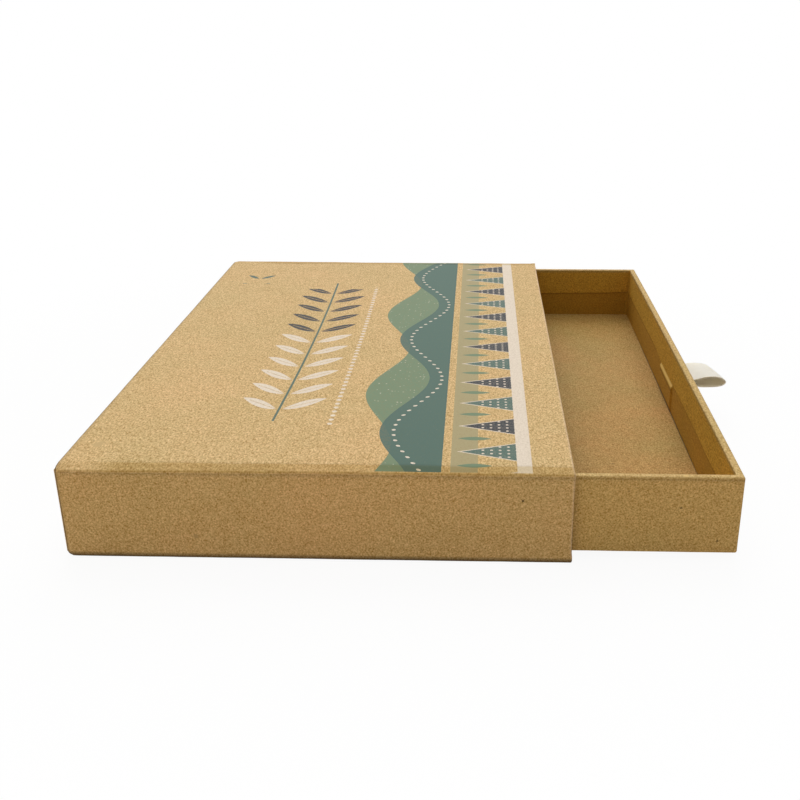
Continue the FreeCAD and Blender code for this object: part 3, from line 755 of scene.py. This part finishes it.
# How dark the painted shade line along a fold is, and the share of a fold's radius that wears.
PAINTED_FOLD_SHADE = 3.3
WORN = 0.75


def wander(place, size, amount):
    """Smooth random unevenness between minus and plus amount."""
    return noise.noise(Vector(place) / size) * amount


def strip_start(point, sizes):
    """Distance from the sleeve's middle to the start of the sunken strip, a little uneven."""
    uneven = wander((point.x, math.copysign(2, point.y), 0.0), 0.022, 0.0011)
    return SLEEVE[1].y - sizes.strip + uneven


def strip_reach(point, sizes):
    """How far a point lies past the strip's start, and how near the strip is to its full depth."""
    into = abs(point.y) - strip_start(point, sizes)
    return into, ease((point.x - SLEEVE[0].x - 0.010) / 0.016)


def sleeve_form(point, sizes):
    """How far the sleeve's shell departs from a true box, for its paper and its boards alike."""
    low, high = SLEEVE
    side = math.copysign(1.0, point.y)
    to_side, to_top, to_foot = high.y - abs(point.y), high.z - point.z, point.z - low.z
    to_end, to_mouth = point.x - low.x, high.x - point.x
    move = Vector((0.0, 0.0, 0.0))
    into, _ = strip_reach(point, sizes)
    sunk = sizes.shoulder * ease(into / sizes.strip)
    sunk *= 1.0 + (0.9 if point.y < 0.0 else -0.7) * ease(-point.x / 0.07)
    move.z -= sunk * ease((0.0018 - to_top) / 0.0012)
    rise = clamp(to_foot / (high.z - low.z))
    move.x -= sizes.end_swell * (0.55 + 0.55 * rise) * ease(1.0 - to_end / 0.03)
    upright = bump(to_end, 0.0014) * bump(to_side, 0.0014)
    move += Vector((1.0, -side, 0.0)) * (sizes.worn_corner * 0.5 * upright)
    flare = sizes.mouth_flare * bump(to_side, 0.004) * bump(to_foot - 0.0015, 0.0022)
    move.x += flare * bump(to_mouth, 0.002)
    for from_face, up in ((to_top, -1.0), (to_foot, 1.0)):
        knock = bump(to_end, 0.0016) * (bump(to_side, 0.0016) * bump(from_face, 0.0016))
        move += Vector((0.0, -side * 0.3, up)) * (sizes.worn_corner * knock)
    return move


def settle_sleeve(mesh, sizes):
    """Sinks the strip beside the long folds, softens folds and mouth corners, and marks wear and painted
    shade on the paper.
    """
    low, high = SLEEVE
    fold = sizes.sleeve_fold
    wear, pressed, inner, bare = new_layers(mesh, "wear", "pressed", "inner", "bare")
    for vertex, point, normal in at_rest(mesh):
        side = abs(point.y)
        within = low.z + TURNED_IN_Z < point.z < high.z - TURNED_IN_Z
        if within and side < high.y - TURNED_IN_Y and point.x > 0.0:
            continue
        vertex.co += sleeve_form(point, sizes)
        into, along = strip_reach(point, sizes)
        # The grooves beside the strip and behind the closed end.
        if abs(normal.z) > 0.3:
            at_start = bump(into - 0.0003, 0.0005)
            at_end = bump(point.x - low.x - END_GROOVE, 0.0005) * (side < high.y - sizes.strip)
            depth = at_start * along + 0.8 * at_end - 0.35 * bump(into + 0.0010, 0.0006) * along
            vertex.co.z -= math.copysign(sizes.crease * depth, normal.z)
            # The strip is darker and redder than the top, unevenly, and a painted shade line lies in the
            # groove at its start.
            strip_tone = ease(into / 0.0012) * (0.15 + 0.85 * along)
            strip_tone *= 0.75 + wander(point, 0.012, 0.32)
            vertex[inner] = 0.5 * strip_tone
            vertex[pressed] = strip_tone + 0.5 * bump(into - 0.0003, 0.0004) * along
        # Painted shade: dark lines under the long folds, along the foot where the box meets the floor, and
        # round the closed end's folds, which turn away from the light.
        under = high.z - fold - point.z
        if abs(normal.z) < 0.3 and side > high.y - SAME and under < 0.004:
            vertex[pressed] = bump(under - 0.0007, 0.0009)
        if point.z < low.z + 0.002 and side > high.y - fold:
            vertex[pressed] = PAINTED_FOLD_SHADE * bump(point.z - low.z - 0.0003, 0.0015)
        if point.x < low.x + fold and (point.z > high.z - fold or side > high.y - fold):
            line = PAINTED_FOLD_SHADE * bump((point.x - low.x) / fold - 0.4, 0.48)
            vertex[pressed] = max(vertex[pressed], line)
        # Unevenness of the paste, and of the long folds.
        if point.z > SAME:
            rough = wander(point, 0.030, sizes.swell) + wander(point, 0.007, sizes.swell * 0.4)
            vertex.co += normal * (rough + sizes.swell)
        upper = point.z > 0.02
        near_fold = ease((side - high.y + 0.004) / 0.003)
        near_fold *= ease(abs(point.z - (low.z + high.z) / 2) / 0.006 - 1.8)
        slide = wander((point.x, math.copysign(1, point.y), upper), 0.016, 0.00010)
        slide += wander((point.x, math.copysign(3, point.y), upper), 0.005, 0.00005)
        vertex.co.y += math.copysign(slide, point.y) * near_fold
        vertex.co.z += slide * near_fold * upper
        # The mouth: its upper corners stand out, and its paper is worn through to paler paper in places.
        flare = bump(high.y - side, 0.003) * bump(high.z - point.z, 0.003)
        flare *= bump(high.x - point.x, 0.0022)
        vertex.co += Vector((0.00022, math.copysign(0.00030, point.y), 0.00018)) * flare
        at_lip = point.x > high.x - 0.0006
        on_edges = sum((side > high.y - fold * WORN,
                        min(point.z - low.z, high.z - point.z) < fold * WORN,
                        point.x < low.x + fold * WORN, at_lip))
        vertex[wear] = 1.0 if on_edges >= 2 else 0.5 * at_lip
        if side > high.y - 0.0012 or point.z > high.z - 0.0012:
            vertex[bare] = 0.12 * ease((point.x - high.x + 0.0007) / 0.0004)


# Distance between the cuts of the boards near their edges.
BOARD_CUT = 0.0008


class GIFTBOX_OT_sleeve_boards(bpy.types.Operator):
    """Boards of the sleeve, pushed in with the covering at the strips and corners"""

    bl_idname = "giftbox.sleeve_boards"
    bl_label = "Sleeve Boards"

    def execute(self, context):
        for side in ("top", "bottom", "front", "rear", "end"):
            node = f"sleeve_{side}_board"
            low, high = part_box(node)
            ends_x, ends_z = (rungs(low[axis], BOARD_CUT, 1, 2)
                              + rungs(high[axis], BOARD_CUT, -2, -1) for axis in (0, 2))
            strips = mirrored(ladder(SLEEVE[1].y - 0.0078, SLEEVE[1].y - 0.0002, BOARD_CUT))
            shaped_board(context, node, f"shaped_{side}_board", "sleeve", sleeve_form,
                         x=ladder(low.x, high.x, 0.004) + ends_x, y=strips, z=ends_z)
        return {"FINISHED"}


class GIFTBOX_OT_sleeve_paper(bpy.types.Operator):
    """Kraft covering of the sleeve, turned in at the mouth, with the print on its top"""

    bl_idname = "giftbox.sleeve_paper"
    bl_label = "Sleeve Paper"

    def execute(self, context):
        sizes, colours = choices(context)
        low, high = SLEEVE
        lip, fold = sizes.lip_round, sizes.sleeve_fold
        mesh = paper_box(low, high, 0, lip, fold, segments=6)
        rim = high.x - lip
        joint = high.y - sizes.strip
        groove = [low.x + 0.0032 + offset for offset in GROOVE_CUTS]
        foot, head = low.z + fold, high.z - fold
        near_folds = [place for step in range(1, 6)
                      for place in (foot + step * 0.0005, head - step * 0.0005)]
        cut_across(mesh,
                   x=ladder(low.x + 0.006, rim - 0.003, 0.003) + groove + rungs(rim, -0.0006, 1, 5),
                   y=ladder(-joint + 0.002, joint - 0.002, 0.0045)
                   + mirrored(ladder(joint - 0.0024, high.y - fold, 0.0004)),
                   z=ladder(foot, head, 0.004) + near_folds)
        layers = sizes.lining + sizes.paper
        across = high.y - SLEEVE_LINING[1].y + layers
        narrow = (1.0, 1.0, (high.z - SLEEVE_LINING[1].z + layers) / across)
        path = turned_lip(across, lip, sizes.sleeve_turn_in, steps=5)
        turn_over(mesh, 0, SLEEVE, fold, path, lambda start: wander(start, 0.02, 0.0004), narrow)
        settle_sleeve(mesh, sizes)
        thicken(mesh, sizes.paper)
        paper = finish_named(kraft, "printed_kraft", colours.kraft, printed=colours,
                             marks=SLEEVE_BITS)
        finish_piece(mesh, "sleeve_paper", paper, "sleeve", "sleeve_wrap", slot="kraft_paper")
        return {"FINISHED"}


class GIFTBOX_OT_end_sheet(bpy.types.Operator):
    """Sheet pasted over the flaps at the closed end, with the flaps' edges showing through"""

    bl_idname = "giftbox.end_sheet"
    bl_label = "End Sheet"

    def execute(self, context):
        sizes, colours = choices(context)
        low, high = END_SHEET
        mesh = new_block(low, high)
        cut_across(mesh, y=ladder(low.y, high.y, 0.003), z=ladder(low.z, high.z, 0.0012))
        middle = (low.z + high.z) / 2
        for vertex in mesh.verts:
            outer = vertex.co.x < low.x + SAME
            vertex.co.x += sleeve_form(vertex.co, sizes).x - 0.00012
            if not outer:
                continue
            side = abs(vertex.co.y)
            strip = ease((0.00275 - abs(vertex.co.z - middle)) / 0.0008 + 0.5)
            strip *= ease((high.y - 0.0128 - side) / 0.001)
            vertex.co.x += 0.00010 * strip + wander(vertex.co, 0.02, 0.00004)
        paper = finish_named(kraft, "covering_kraft", colours.kraft)
        finish_piece(mesh, "end_sheet", paper, "sleeve", "sleeve_end_paper", slot="kraft_paper")
        return {"FINISHED"}


# Drawer ----------------------------------------------------------------------------------------

# The lining's slit above the axis that the ribbon bends on, its height, and the radius of the
# lining's corners.
SLIT_RISE = 0.00085
SLIT_HEIGHT = 0.0002
LINING_CORNER = 0.0018


def bow(point, amount):
    """Outward shift of the pull wall at a point: most at mid-length, none behind the wall."""
    share = 1.0 - (point.y / TRAY[1].y) ** 2
    return amount * share * ease((point.x - WALL_LINING[1].x + 0.006) / 0.004)


def pinch_share(coordinate, outer, inner):
    """1 at a wall's inner face, falling to 0 at its outer face and further inside the drawer."""
    if coordinate > inner:
        return (outer - coordinate) / (outer - inner)
    return ease(1.0 - (inner - coordinate) / 0.020)


def tray_form(point, sizes):
    """How far the drawer's walls depart from a true box, for their papers and boards alike."""
    near_rim = ease(1.0 - (TRAY[1].z - point.z) / 0.016)
    inner = WALL_LINING[1] - Vector((1.0, 1.0, 0.0)) * (sizes.lining + sizes.paper)
    move = Vector((bow(point, sizes.wall_bow), 0.0, 0.0))
    move.x += sizes.rim_pinch * near_rim * pinch_share(point.x, TRAY[1].x, inner.x)
    across = sizes.rim_pinch * near_rim * pinch_share(abs(point.y), TRAY[1].y, inner.y)
    move.y += math.copysign(across, point.y)
    return move


def tail_raise(point, sizes):
    """How far the ribbon's tails push the lining off the pull wall."""
    half = sizes.slot_length / 2
    raised = ease((half + 0.0014 - abs(point.y)) / 0.0022)
    raised *= ease((point.z - RIBBON_TAILS[0].z + 0.0006) / 0.0012)
    return sizes.tail_bulge * raised * clamp((BEND_AXIS.z + 0.00075 - point.z) / 0.0015)


def cut_slot(mesh, sizes, wall, level, height):
    """Opens the ribbon slot in the faces of the pull wall."""
    low, high = level - height / 2, level + height / 2
    half = sizes.slot_length / 2
    cut_across(mesh, y=(-half, half), z=(low, high))
    middles = [(face, face.calc_center_median()) for face in mesh.faces]
    gone = [face for face, middle in middles
            if abs(middle.x - wall) < 0.0004 and abs(middle.y) < half and low < middle.z < high]
    if not gone:
        raise RuntimeError("the ribbon slot cuts no paper")
    bmesh.ops.delete(mesh, geom=gone, context="FACES")


def turn_in_edge(point):
    """How much deeper than planned the drawer's turn-in reaches at a place: most over the slit."""
    wall = WALL_LINING[1]
    over_slit = bump(point.y, 0.024) * ease((point.x - wall.x + 0.001) / 0.0005)
    askew = clamp((wall.x - point.x) / 0.056) * (point.y > wall.y - 0.001)
    around = Vector((point.x, point.y, 0.0))
    uneven = wander(around, 0.03, 0.0005) + wander(around, 0.009, 0.00015)
    return uneven + 0.0009 * over_slit + 0.0016 * askew


def settle_tray(mesh, sizes, across):
    """Bows and pinches the drawer's paper, marks wear on its folds and rim, and paints shade along its rim
    and over its turned-in part.
    """
    low, high = TRAY
    lip, fold = sizes.lip_round, sizes.tray_fold
    wear, pressed, inner = new_layers(mesh, "wear", "pressed", "inner")
    for vertex, point, normal in at_rest(mesh):
        rough = wander(point, 0.025, sizes.swell) + wander(point, 0.006, sizes.swell * 0.4)
        outer = (point.z > low.z + SAME) * (0.35 if point.z > high.z - 0.0004 else 1.0)
        vertex.co += normal * (rough + sizes.swell * 0.5) * outer + tray_form(point, sizes)
        if point.z > high.z - 0.0002:
            vertex[wear] = 0.45
        inside = min(high.x - point.x, point.x - low.x, high.y - abs(point.y))
        depth = high.z - point.z
        if inside > across - lip - SAME and point.z > low.z + 0.006:
            # Painted shade: the turned-in paper is deeper and redder inside the drawer, with a dark line
            # just under the rim.
            vertex[inner] = ease(depth / (2.0 * lip))
            vertex[pressed] = 1.3 * bump(depth - 0.0006, 0.0006)
            if point.z < high.z - sizes.tray_turn_in + 0.004 and point.x > high.x - 0.006:
                vertex.co.x -= 0.45 * tail_raise(point, sizes)
        elif depth < 0.0001:
            # Painted shade: thin dark lines along both shoulders of the rim.
            across_lip = min(inside, across - inside)
            vertex[pressed] = 0.8 * bump(across_lip - 0.0003, 0.0003)
        elif inside < fold:
            # Painted shade: a dark line just under the rim's fold on the outside.
            vertex[pressed] = 1.3 * bump(depth - 0.0009, 0.0005)
        on_edges = sum((abs(point.y) > high.y - fold * WORN, point.x > high.x - fold * WORN,
                        point.x < low.x + fold * WORN, point.z < low.z + fold * WORN))
        if on_edges >= 2:
            vertex[wear] = 1.0


class GIFTBOX_OT_drawer_paper(bpy.types.Operator):
    """Kraft covering of the drawer, turned over the rim and down inside"""

    bl_idname = "giftbox.drawer_paper"
    bl_label = "Drawer Paper"

    def execute(self, context):
        sizes, colours = choices(context)
        low, high = TRAY
        lip, fold = sizes.lip_round, sizes.tray_fold
        mesh = paper_box(low, high, 2, lip, fold, segments=5)
        rim = high.z - lip
        cut_across(mesh, x=ladder(low.x + 0.003, high.x - 0.003, 0.004),
                   y=ladder(low.y + 0.003, high.y - 0.003, 0.004),
                   z=ladder(low.z + fold, rim, 0.003) + rungs(rim, -0.0004, 1, 3))
        across = high.x - WALL_LINING[1].x + sizes.lining + sizes.paper
        path = turned_lip(across, lip, sizes.tray_turn_in, steps=9)
        turn_over(mesh, 2, TRAY, fold, path, turn_in_edge)
        cut_slot(mesh, sizes, high.x, BEND_AXIS.z, sizes.slot_height)
        settle_tray(mesh, sizes, across)
        thicken(mesh, sizes.paper)
        paper = finish_named(kraft, "tray_kraft", colours.tray_kraft, marks=TRAY_BITS)
        finish_piece(mesh, "drawer_paper", paper, "drawer", "drawer_wrap", slot="kraft_paper")
        return {"FINISHED"}


def settle_lining(mesh, sizes, wall, slit, turn_in):
    """Lays the lining on the drawer's walls, over the ribbon's tails and up to the turn-in, with painted
    light on the slit's lip and painted shadow lines below it and under the turn-in.
    """
    half = sizes.slot_length / 2
    bare, pressed = new_layers(mesh, "bare", "pressed")
    for vertex in mesh.verts:
        point = vertex.co.copy()
        if point.x > wall - SAME:
            vertex.co.x -= tail_raise(point, sizes)
            lip = ease((half + 0.0003 - abs(point.y)) / 0.0008)
            # Painted light and shadow: the slit's raised lower lip is painted pale, as if lit from above,
            # with a painted shadow line below it.
            vertex[bare] = lip * bump(point.z - slit + 0.0009, 0.0009)
            vertex[pressed] = 1.6 * lip * bump(point.z - slit + 0.0029, 0.0006)
        # Painted shadow: a dark line on the lining just under the turn-in's edge.
        under = turn_in - turn_in_edge(point) - point.z
        line = bump(under - 0.0003, 0.0006) * (abs(point.y) > half + 0.001)
        vertex[pressed] = max(vertex[pressed], line)
        vertex.co += tray_form(point, sizes)
        vertex.co.x += wander(point, 0.03, 0.00005)
        vertex.co.y += wander(point + Vector((1, 1, 1)), 0.03, 0.00005)


class GIFTBOX_OT_drawer_lining(bpy.types.Operator):
    """Lining of the drawer's walls, with the slit and the bulge of the ribbon's tails"""

    bl_idname = "giftbox.drawer_lining"
    bl_label = "Drawer Lining"

    def execute(self, context):
        sizes, colours = choices(context)
        inset = Vector((sizes.lining, sizes.lining, 0.0))
        low, high = WALL_LINING[0] + inset, WALL_LINING[1] - inset
        mesh = new_block(low, high)
        open_side(mesh, 2, low.z)
        open_side(mesh, 2, high.z)
        corners = [edge for edge in mesh.edges if len({vertex.co.z for vertex in edge.verts}) == 2]
        round_edges(mesh, corners, LINING_CORNER, segments=4)
        half = sizes.slot_length / 2
        slit = BEND_AXIS.z + SLIT_RISE
        turn_in = TRAY[1].z - sizes.tray_turn_in
        cut_across(mesh, x=ladder(low.x, high.x, 0.005),
                   y=ladder(low.y, high.y, 0.005) + mirrored(rungs(half, 0.0004, -3, 4)),
                   z=ladder(low.z, high.z, 0.0016) + rungs(slit - 0.0001, -0.0002, 1, 7)
                   + rungs(slit - 0.0015, -0.0004, 1, 6) + rungs(turn_in, -0.0003, -3, 4))
        cut_slot(mesh, sizes, high.x, slit, SLIT_HEIGHT)
        bmesh.ops.reverse_faces(mesh, faces=mesh.faces[:])
        settle_lining(mesh, sizes, high.x, slit, turn_in)
        thicken(mesh, sizes.lining * 0.9)
        lining = finish_named(kraft, "wall_lining_kraft", colours.lining_wall, strength=0.7)
        finish_piece(mesh, "drawer_wall_lining", lining, "drawer", "drawer_wall_liner",
                     slot="kraft_lining", sharp=30.0)
        return {"FINISHED"}


class GIFTBOX_OT_drawer_boards(bpy.types.Operator):
    """Boards of the drawer's long walls and its bowed pull wall, pinched in at the rim"""

    bl_idname = "giftbox.drawer_boards"
    bl_label = "Drawer Boards"

    def execute(self, context):
        names = {"front": "shaped_drawer_front_board", "rear": "shaped_drawer_rear_board",
                 "pull": "pull_board"}
        for name, piece in names.items():
            node = f"drawer_{name}_board"
            low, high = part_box(node)
            shaped_board(context, node, piece, "drawer", tray_form,
                         y=ladder(low.y, high.y, 0.012) if name == "pull" else (),
                         z=ladder(high.z - 0.016, high.z, 0.002))
        return {"FINISHED"}


class GIFTBOX_OT_boards(bpy.types.Operator):
    """Finishes of the boards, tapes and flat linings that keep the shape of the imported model"""

    bl_idname = "giftbox.boards"
    bl_label = "Boards and Flat Linings"

    def execute(self, context):
        colours = choices(context)[1]
        dress(greyboard(colours), "drawer_base_board", "drawer_tail_board")
        dress(finish_named(gummed_tape, "gummed_tape", colours.tape), "drawer_corner_stays")
        lining = finish_named(kraft, "floor_lining_kraft", colours.lining, blotch=2.8)
        dress(lining, "sleeve_liner", "sleeve_end_liner", "drawer_base_liner")
        return {"FINISHED"}


# Ribbon ----------------------------------------------------------------------------------------

def smooth_path(points, per_span):
    """Points along a smooth curve through the given ones."""
    path = []
    for index in range(len(points) - 1):
        before = points[max(0, index - 1)]
        start, end = points[index], points[index + 1]
        after = points[min(len(points) - 1, index + 2)]
        reach = (end - start).length
        lead_out = (end - before).normalized() * reach / 3
        lead_in = (after - start).normalized() * reach / 3
        for step in range(per_span):
            path.append(bezier(start, start + lead_out, end - lead_in, end, step / per_span))
    path.append(points[-1])
    return path


def bezier(first, second, third, fourth, share):
    """A point at a share of the way along a curve with four control points."""
    rest = 1.0 - share
    return (first * rest ** 3 + second * (3 * rest ** 2 * share) + third * (3 * rest * share ** 2)
            + fourth * share ** 3)


# Turns of the loop beyond the pull wall and above the slot, in metres, at its front and rear edge.
LOOP_FRONT = (
    (0.0035, 0.0003), (0.0080, 0.0014), (0.0112, 0.0024), (0.0140, 0.0031), (0.0174, 0.0033),
    (0.0207, 0.0029), (0.0227, 0.0018), (0.0236, 0.0004), (0.0229, -0.0009), (0.0211, -0.0018),
    (0.0188, -0.0022), (0.0142, -0.0024), (0.0108, -0.0023), (0.0050, -0.0011),
)
LOOP_REAR = (
    (0.0035, 0.0014), (0.0075, 0.0026), (0.0104, 0.0030), (0.0131, 0.0030), (0.0157, 0.0027),
    (0.0180, 0.0020), (0.0195, 0.0009), (0.0201, -0.0002), (0.0194, -0.0012), (0.0180, -0.0019),
    (0.0160, -0.0023), (0.0125, -0.0024), (0.0095, -0.0021), (0.0050, -0.0010),
)


# Faces across the ribbon, and how far its edges droop in the loop.
RIBBON_STEPS = 12
RIBBON_CUP = 0.0002


def ribbon_route(sizes, share):
    """Middle line of the ribbon from tail to tail, at a share of its width from front to rear."""
    layer = sizes.ribbon_thickness
    face = TRAY[1].x + sizes.wall_bow
    inside = WALL_LINING[1].x + sizes.wall_bow
    axis = BEND_AXIS.z
    first, second = inside + layer * 0.6, inside + layer * 1.65
    upper, lower = axis + layer * 0.55, axis - layer * 0.55

    def tail(x, level):
        """From a tail's end up behind the wall and out through the slot."""
        bottom = RIBBON_TAILS[0].z
        return [(x, bottom), (x, bottom + 0.004), (x, bottom + 0.008), (x, level - 0.0008),
                (x + 0.0007, level), (face - 0.0010, level), (face + 0.0004, level)]

    turns = [Vector(front) * (1.0 - share) + Vector(rear) * share
             for front, rear in zip(LOOP_FRONT, LOOP_REAR)]
    loop = [(face + out, axis + up) for out, up in turns]
    places = tail(first, upper) + loop + tail(second, lower)[::-1]
    return smooth_path([Vector((x, 0.0, z)) for x, z in places], 6)


class GIFTBOX_OT_pull_ribbon(bpy.types.Operator):
    """One woven ribbon, doubled through the slot, with its tails glued down inside"""

    bl_idname = "giftbox.pull_ribbon"
    bl_label = "Pull Ribbon"

    def execute(self, context):
        sizes, colours = choices(context)
        across = RIBBON_STEPS
        paths = [ribbon_route(sizes, step / across) for step in range(across + 1)]
        middle = paths[across // 2]
        run = [0.0]
        for start, end in zip(middle, middle[1:]):
            run.append(run[-1] + (end - start).length)
        mesh = bmesh.new()
        sheet = mesh.loops.layers.uv.new("sheet")
        bmesh.ops.create_grid(mesh, x_segments=len(middle) - 1, y_segments=across, size=0.5)
        mesh.verts.ensure_lookup_table()
        where = {}
        for vertex in mesh.verts:
            step = round((vertex.co.x + 0.5) * (len(middle) - 1))
            share = vertex.co.y + 0.5
            where[vertex] = (run[step], share * sizes.ribbon_width)
            place = paths[round(share * across)][step]
            cup = RIBBON_CUP * ((share - 0.5) * 2) ** 2 * ease((place.x - BEND_AXIS.x) / 0.012)
            vertex.co = place + Vector((0.0, (share - 0.5) * sizes.ribbon_width, -cup))
        for face in mesh.faces:
            for loop in face.loops:
                loop[sheet].uv = where[loop.vert]
        mesh.normal_update()
        thicken(mesh, sizes.ribbon_thickness)
        woven = finish_named(ribbon_weave, "ribbon_weave", colours.ribbon, sizes.weave,
                             sizes.ribbon_width)
        ribbon = finish_piece(mesh, "pull_ribbon", woven, None, "ribbon_loop", "ribbon_tails",
                              slot="woven_ribbon", sharp=50.0)
        start = Vector((TRAY[1].x + sizes.wall_bow, 0.0, BEND_AXIS.z))
        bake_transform(ribbon, "drawer", "ribbon", start=start, end=start + Vector((0.0030, 0.0, 0.0)))
        return {"FINISHED"}


# Stage -----------------------------------------------------------------------------------------

# The camera's place in metres, its turn, tilt down from level and roll in degrees, and its shift.
CAMERA_PLACE = (0.0585168, -0.4822356, 0.1987353)
CAMERA_YAW, CAMERA_DOWN, CAMERA_ROLL = 1.7723, 21.9854, -0.0852
CAMERA_SHIFT = -0.0586

# The floor's reach from the middle, its gap under the box, and where the shadow starts to fade
# and is gone.
FLOOR_REACH = 3.0
FLOOR_GAP = 0.00005
SHADOW_NEAR, SHADOW_FAR = 0.16, 0.34

# Lamps: name, kind, place, aim, tint and spread.
DAYLIGHT = (0.98, 1.0, 1.03)
LAMPS = (
    ("overhead", "SUN", (0.05, 0.12, 1.0), (0.03, 0.0, 0.0), DAYLIGHT, {"angle": math.radians(60)}),
    ("back", "SUN", (-0.12, 1.20, 1.0), (0.03, 0.0, 0.0), DAYLIGHT, {"angle": math.radians(50)}),
    ("front", "AREA", (-0.35, -1.0, 0.04), (0.03, -0.15, 0.03), (1.0, 0.86, 0.66),
     {"shape": "RECTANGLE", "size": 0.8, "size_y": 0.06}),
)


def camera_rays(shade):
    """1 for rays that show the backdrop itself, straight or in a reflection."""
    rays = shade.node("ShaderNodeLightPath").outputs
    shown = Field(shade, rays["Is Camera Ray"])
    return shown.most(rays["Is Glossy Ray"]).most(rays["Is Transmission Ray"])


def white_world(stage):
    """Even soft light all round, and white to the camera."""
    world = bpy.data.worlds.new("studio")
    bpy.context.scene.world = world
    shade = Shade(world, "Background")
    light = [part * stage.sky for part in stage.sky_tint]
    shade.feed(shade.surface, {"Color": shade.mix(camera_rays(shade), light, (1.0, 1.0, 1.0))})


def floor_material(stage):
    """A pale floor: white to the camera apart from the shadow, and plain to other light."""
    shade = new_shade("studio_floor", roughness=0.9, specular=0.0)
    rays = camera_rays(shade)
    shade.paint(shade.mix(rays, stage.bounce, (0.95, 0.95, 0.95)))
    away = shade.distance(shade.place(), (0.0, 0.0, 0.0))
    share = rays * away.rise(SHADOW_NEAR, SHADOW_FAR, 1.0 - stage.shadow, 1.0)
    plain, glow = shade.surface, shade.node("ShaderNodeEmission", {"Strength": 1.0})
    both = shade.node("ShaderNodeMixShader", {0: share, 1: plain.outputs[0], 2: glow.outputs[0]})
    shade.feed(shade.tree.nodes["Material Output"], {"Surface": both.outputs[0]})
    return shade.owner


def add_lamp(name, kind, place, aim, tint, spread, power):
    """A lamp that shines from its place towards its aim, and that the camera does not see."""
    data = bpy.data.lights.new(name, kind)
    data.energy = power
    data.color = tint
    for setting, value in spread.items():
        setattr(data, setting, value)
    lamp = new_object(name, data)
    lamp.location = place
    lamp.rotation_euler = (Vector(aim) - Vector(place)).to_track_quat("-Z", "Y").to_euler()
    lamp.visible_camera = False


class GIFTBOX_OT_stage(bpy.types.Operator):
    """Camera, soft lamps, white backdrop and floor"""

    bl_idname = "giftbox.stage"
    bl_label = "Stage"

    def execute(self, context):
        stage = context.scene.giftbox_stage
        data = bpy.data.cameras.new("studio_camera")
        data.sensor_width = 36.0
        data.lens = stage.lens
        data.shift_x = CAMERA_SHIFT
        data.clip_start, data.clip_end = 0.01, 20.0
        camera = new_object("studio_camera", data)
        camera.matrix_world = (Matrix.Translation(CAMERA_PLACE)
                               @ Matrix.Rotation(math.radians(CAMERA_YAW), 4, "Z")
                               @ Matrix.Rotation(math.radians(90.0 - CAMERA_DOWN), 4, "X")
                               @ Matrix.Rotation(math.radians(CAMERA_ROLL), 4, "Z"))
        context.scene.camera = camera
        for lamp in LAMPS:
            add_lamp(*lamp, getattr(stage, lamp[0]))
        white_world(stage)
        mesh = bmesh.new()
        bmesh.ops.create_grid(mesh, x_segments=1, y_segments=1, size=FLOOR_REACH)
        bmesh.ops.translate(mesh, verts=mesh.verts, vec=(0.0, 0.0, CAD_BOX[0].z - FLOOR_GAP))
        floor = bpy.data.meshes.new("studio_floor")
        mesh.to_mesh(floor)
        mesh.free()
        floor.materials.append(floor_material(stage))
        new_object("studio_floor", floor)
        context.scene.view_settings.view_transform = "Standard"
        return {"FINISHED"}


class GIFTBOX_PT_panel(bpy.types.Panel):
    """Lists the steps that dress the drawer box"""

    bl_idname = "GIFTBOX_PT_panel"
    bl_label = "Drawer Gift Box"
    bl_space_type = "VIEW_3D"
    bl_region_type = "UI"
    bl_category = "Gift Box"

    def draw(self, context):
        for step in STEPS:
            self.layout.operator(step.bl_idname)
        for group in ("giftbox_sizes", "giftbox_colours", "giftbox_stage"):
            values = getattr(context.scene, group)
            for name in values.__annotations__:
                self.layout.prop(values, name)


STEPS = (
    GIFTBOX_OT_stage,
    GIFTBOX_OT_boards,
    GIFTBOX_OT_sleeve_boards,
    GIFTBOX_OT_sleeve_paper,
    GIFTBOX_OT_end_sheet,
    GIFTBOX_OT_drawer_paper,
    GIFTBOX_OT_drawer_lining,
    GIFTBOX_OT_drawer_boards,
    GIFTBOX_OT_pull_ribbon,
)
GROUPS = (GiftBoxSizes, GiftBoxColours, GiftBoxStage)
CLASSES = GROUPS + STEPS + (GIFTBOX_PT_panel,)


def register():
    for item in CLASSES:
        bpy.utils.register_class(item)
    bpy.types.Scene.giftbox_sizes = PointerProperty(type=GiftBoxSizes)
    bpy.types.Scene.giftbox_colours = PointerProperty(type=GiftBoxColours)
    bpy.types.Scene.giftbox_stage = PointerProperty(type=GiftBoxStage)


def unregister():
    del bpy.types.Scene.giftbox_stage
    del bpy.types.Scene.giftbox_colours
    del bpy.types.Scene.giftbox_sizes
    for item in reversed(CLASSES):
        bpy.utils.unregister_class(item)


def main():
    """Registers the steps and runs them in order."""
    register()
    for step in STEPS:
        group, name = step.bl_idname.split(".")
        getattr(getattr(bpy.ops, group), name)()


if __name__ == "__main__":
    main()
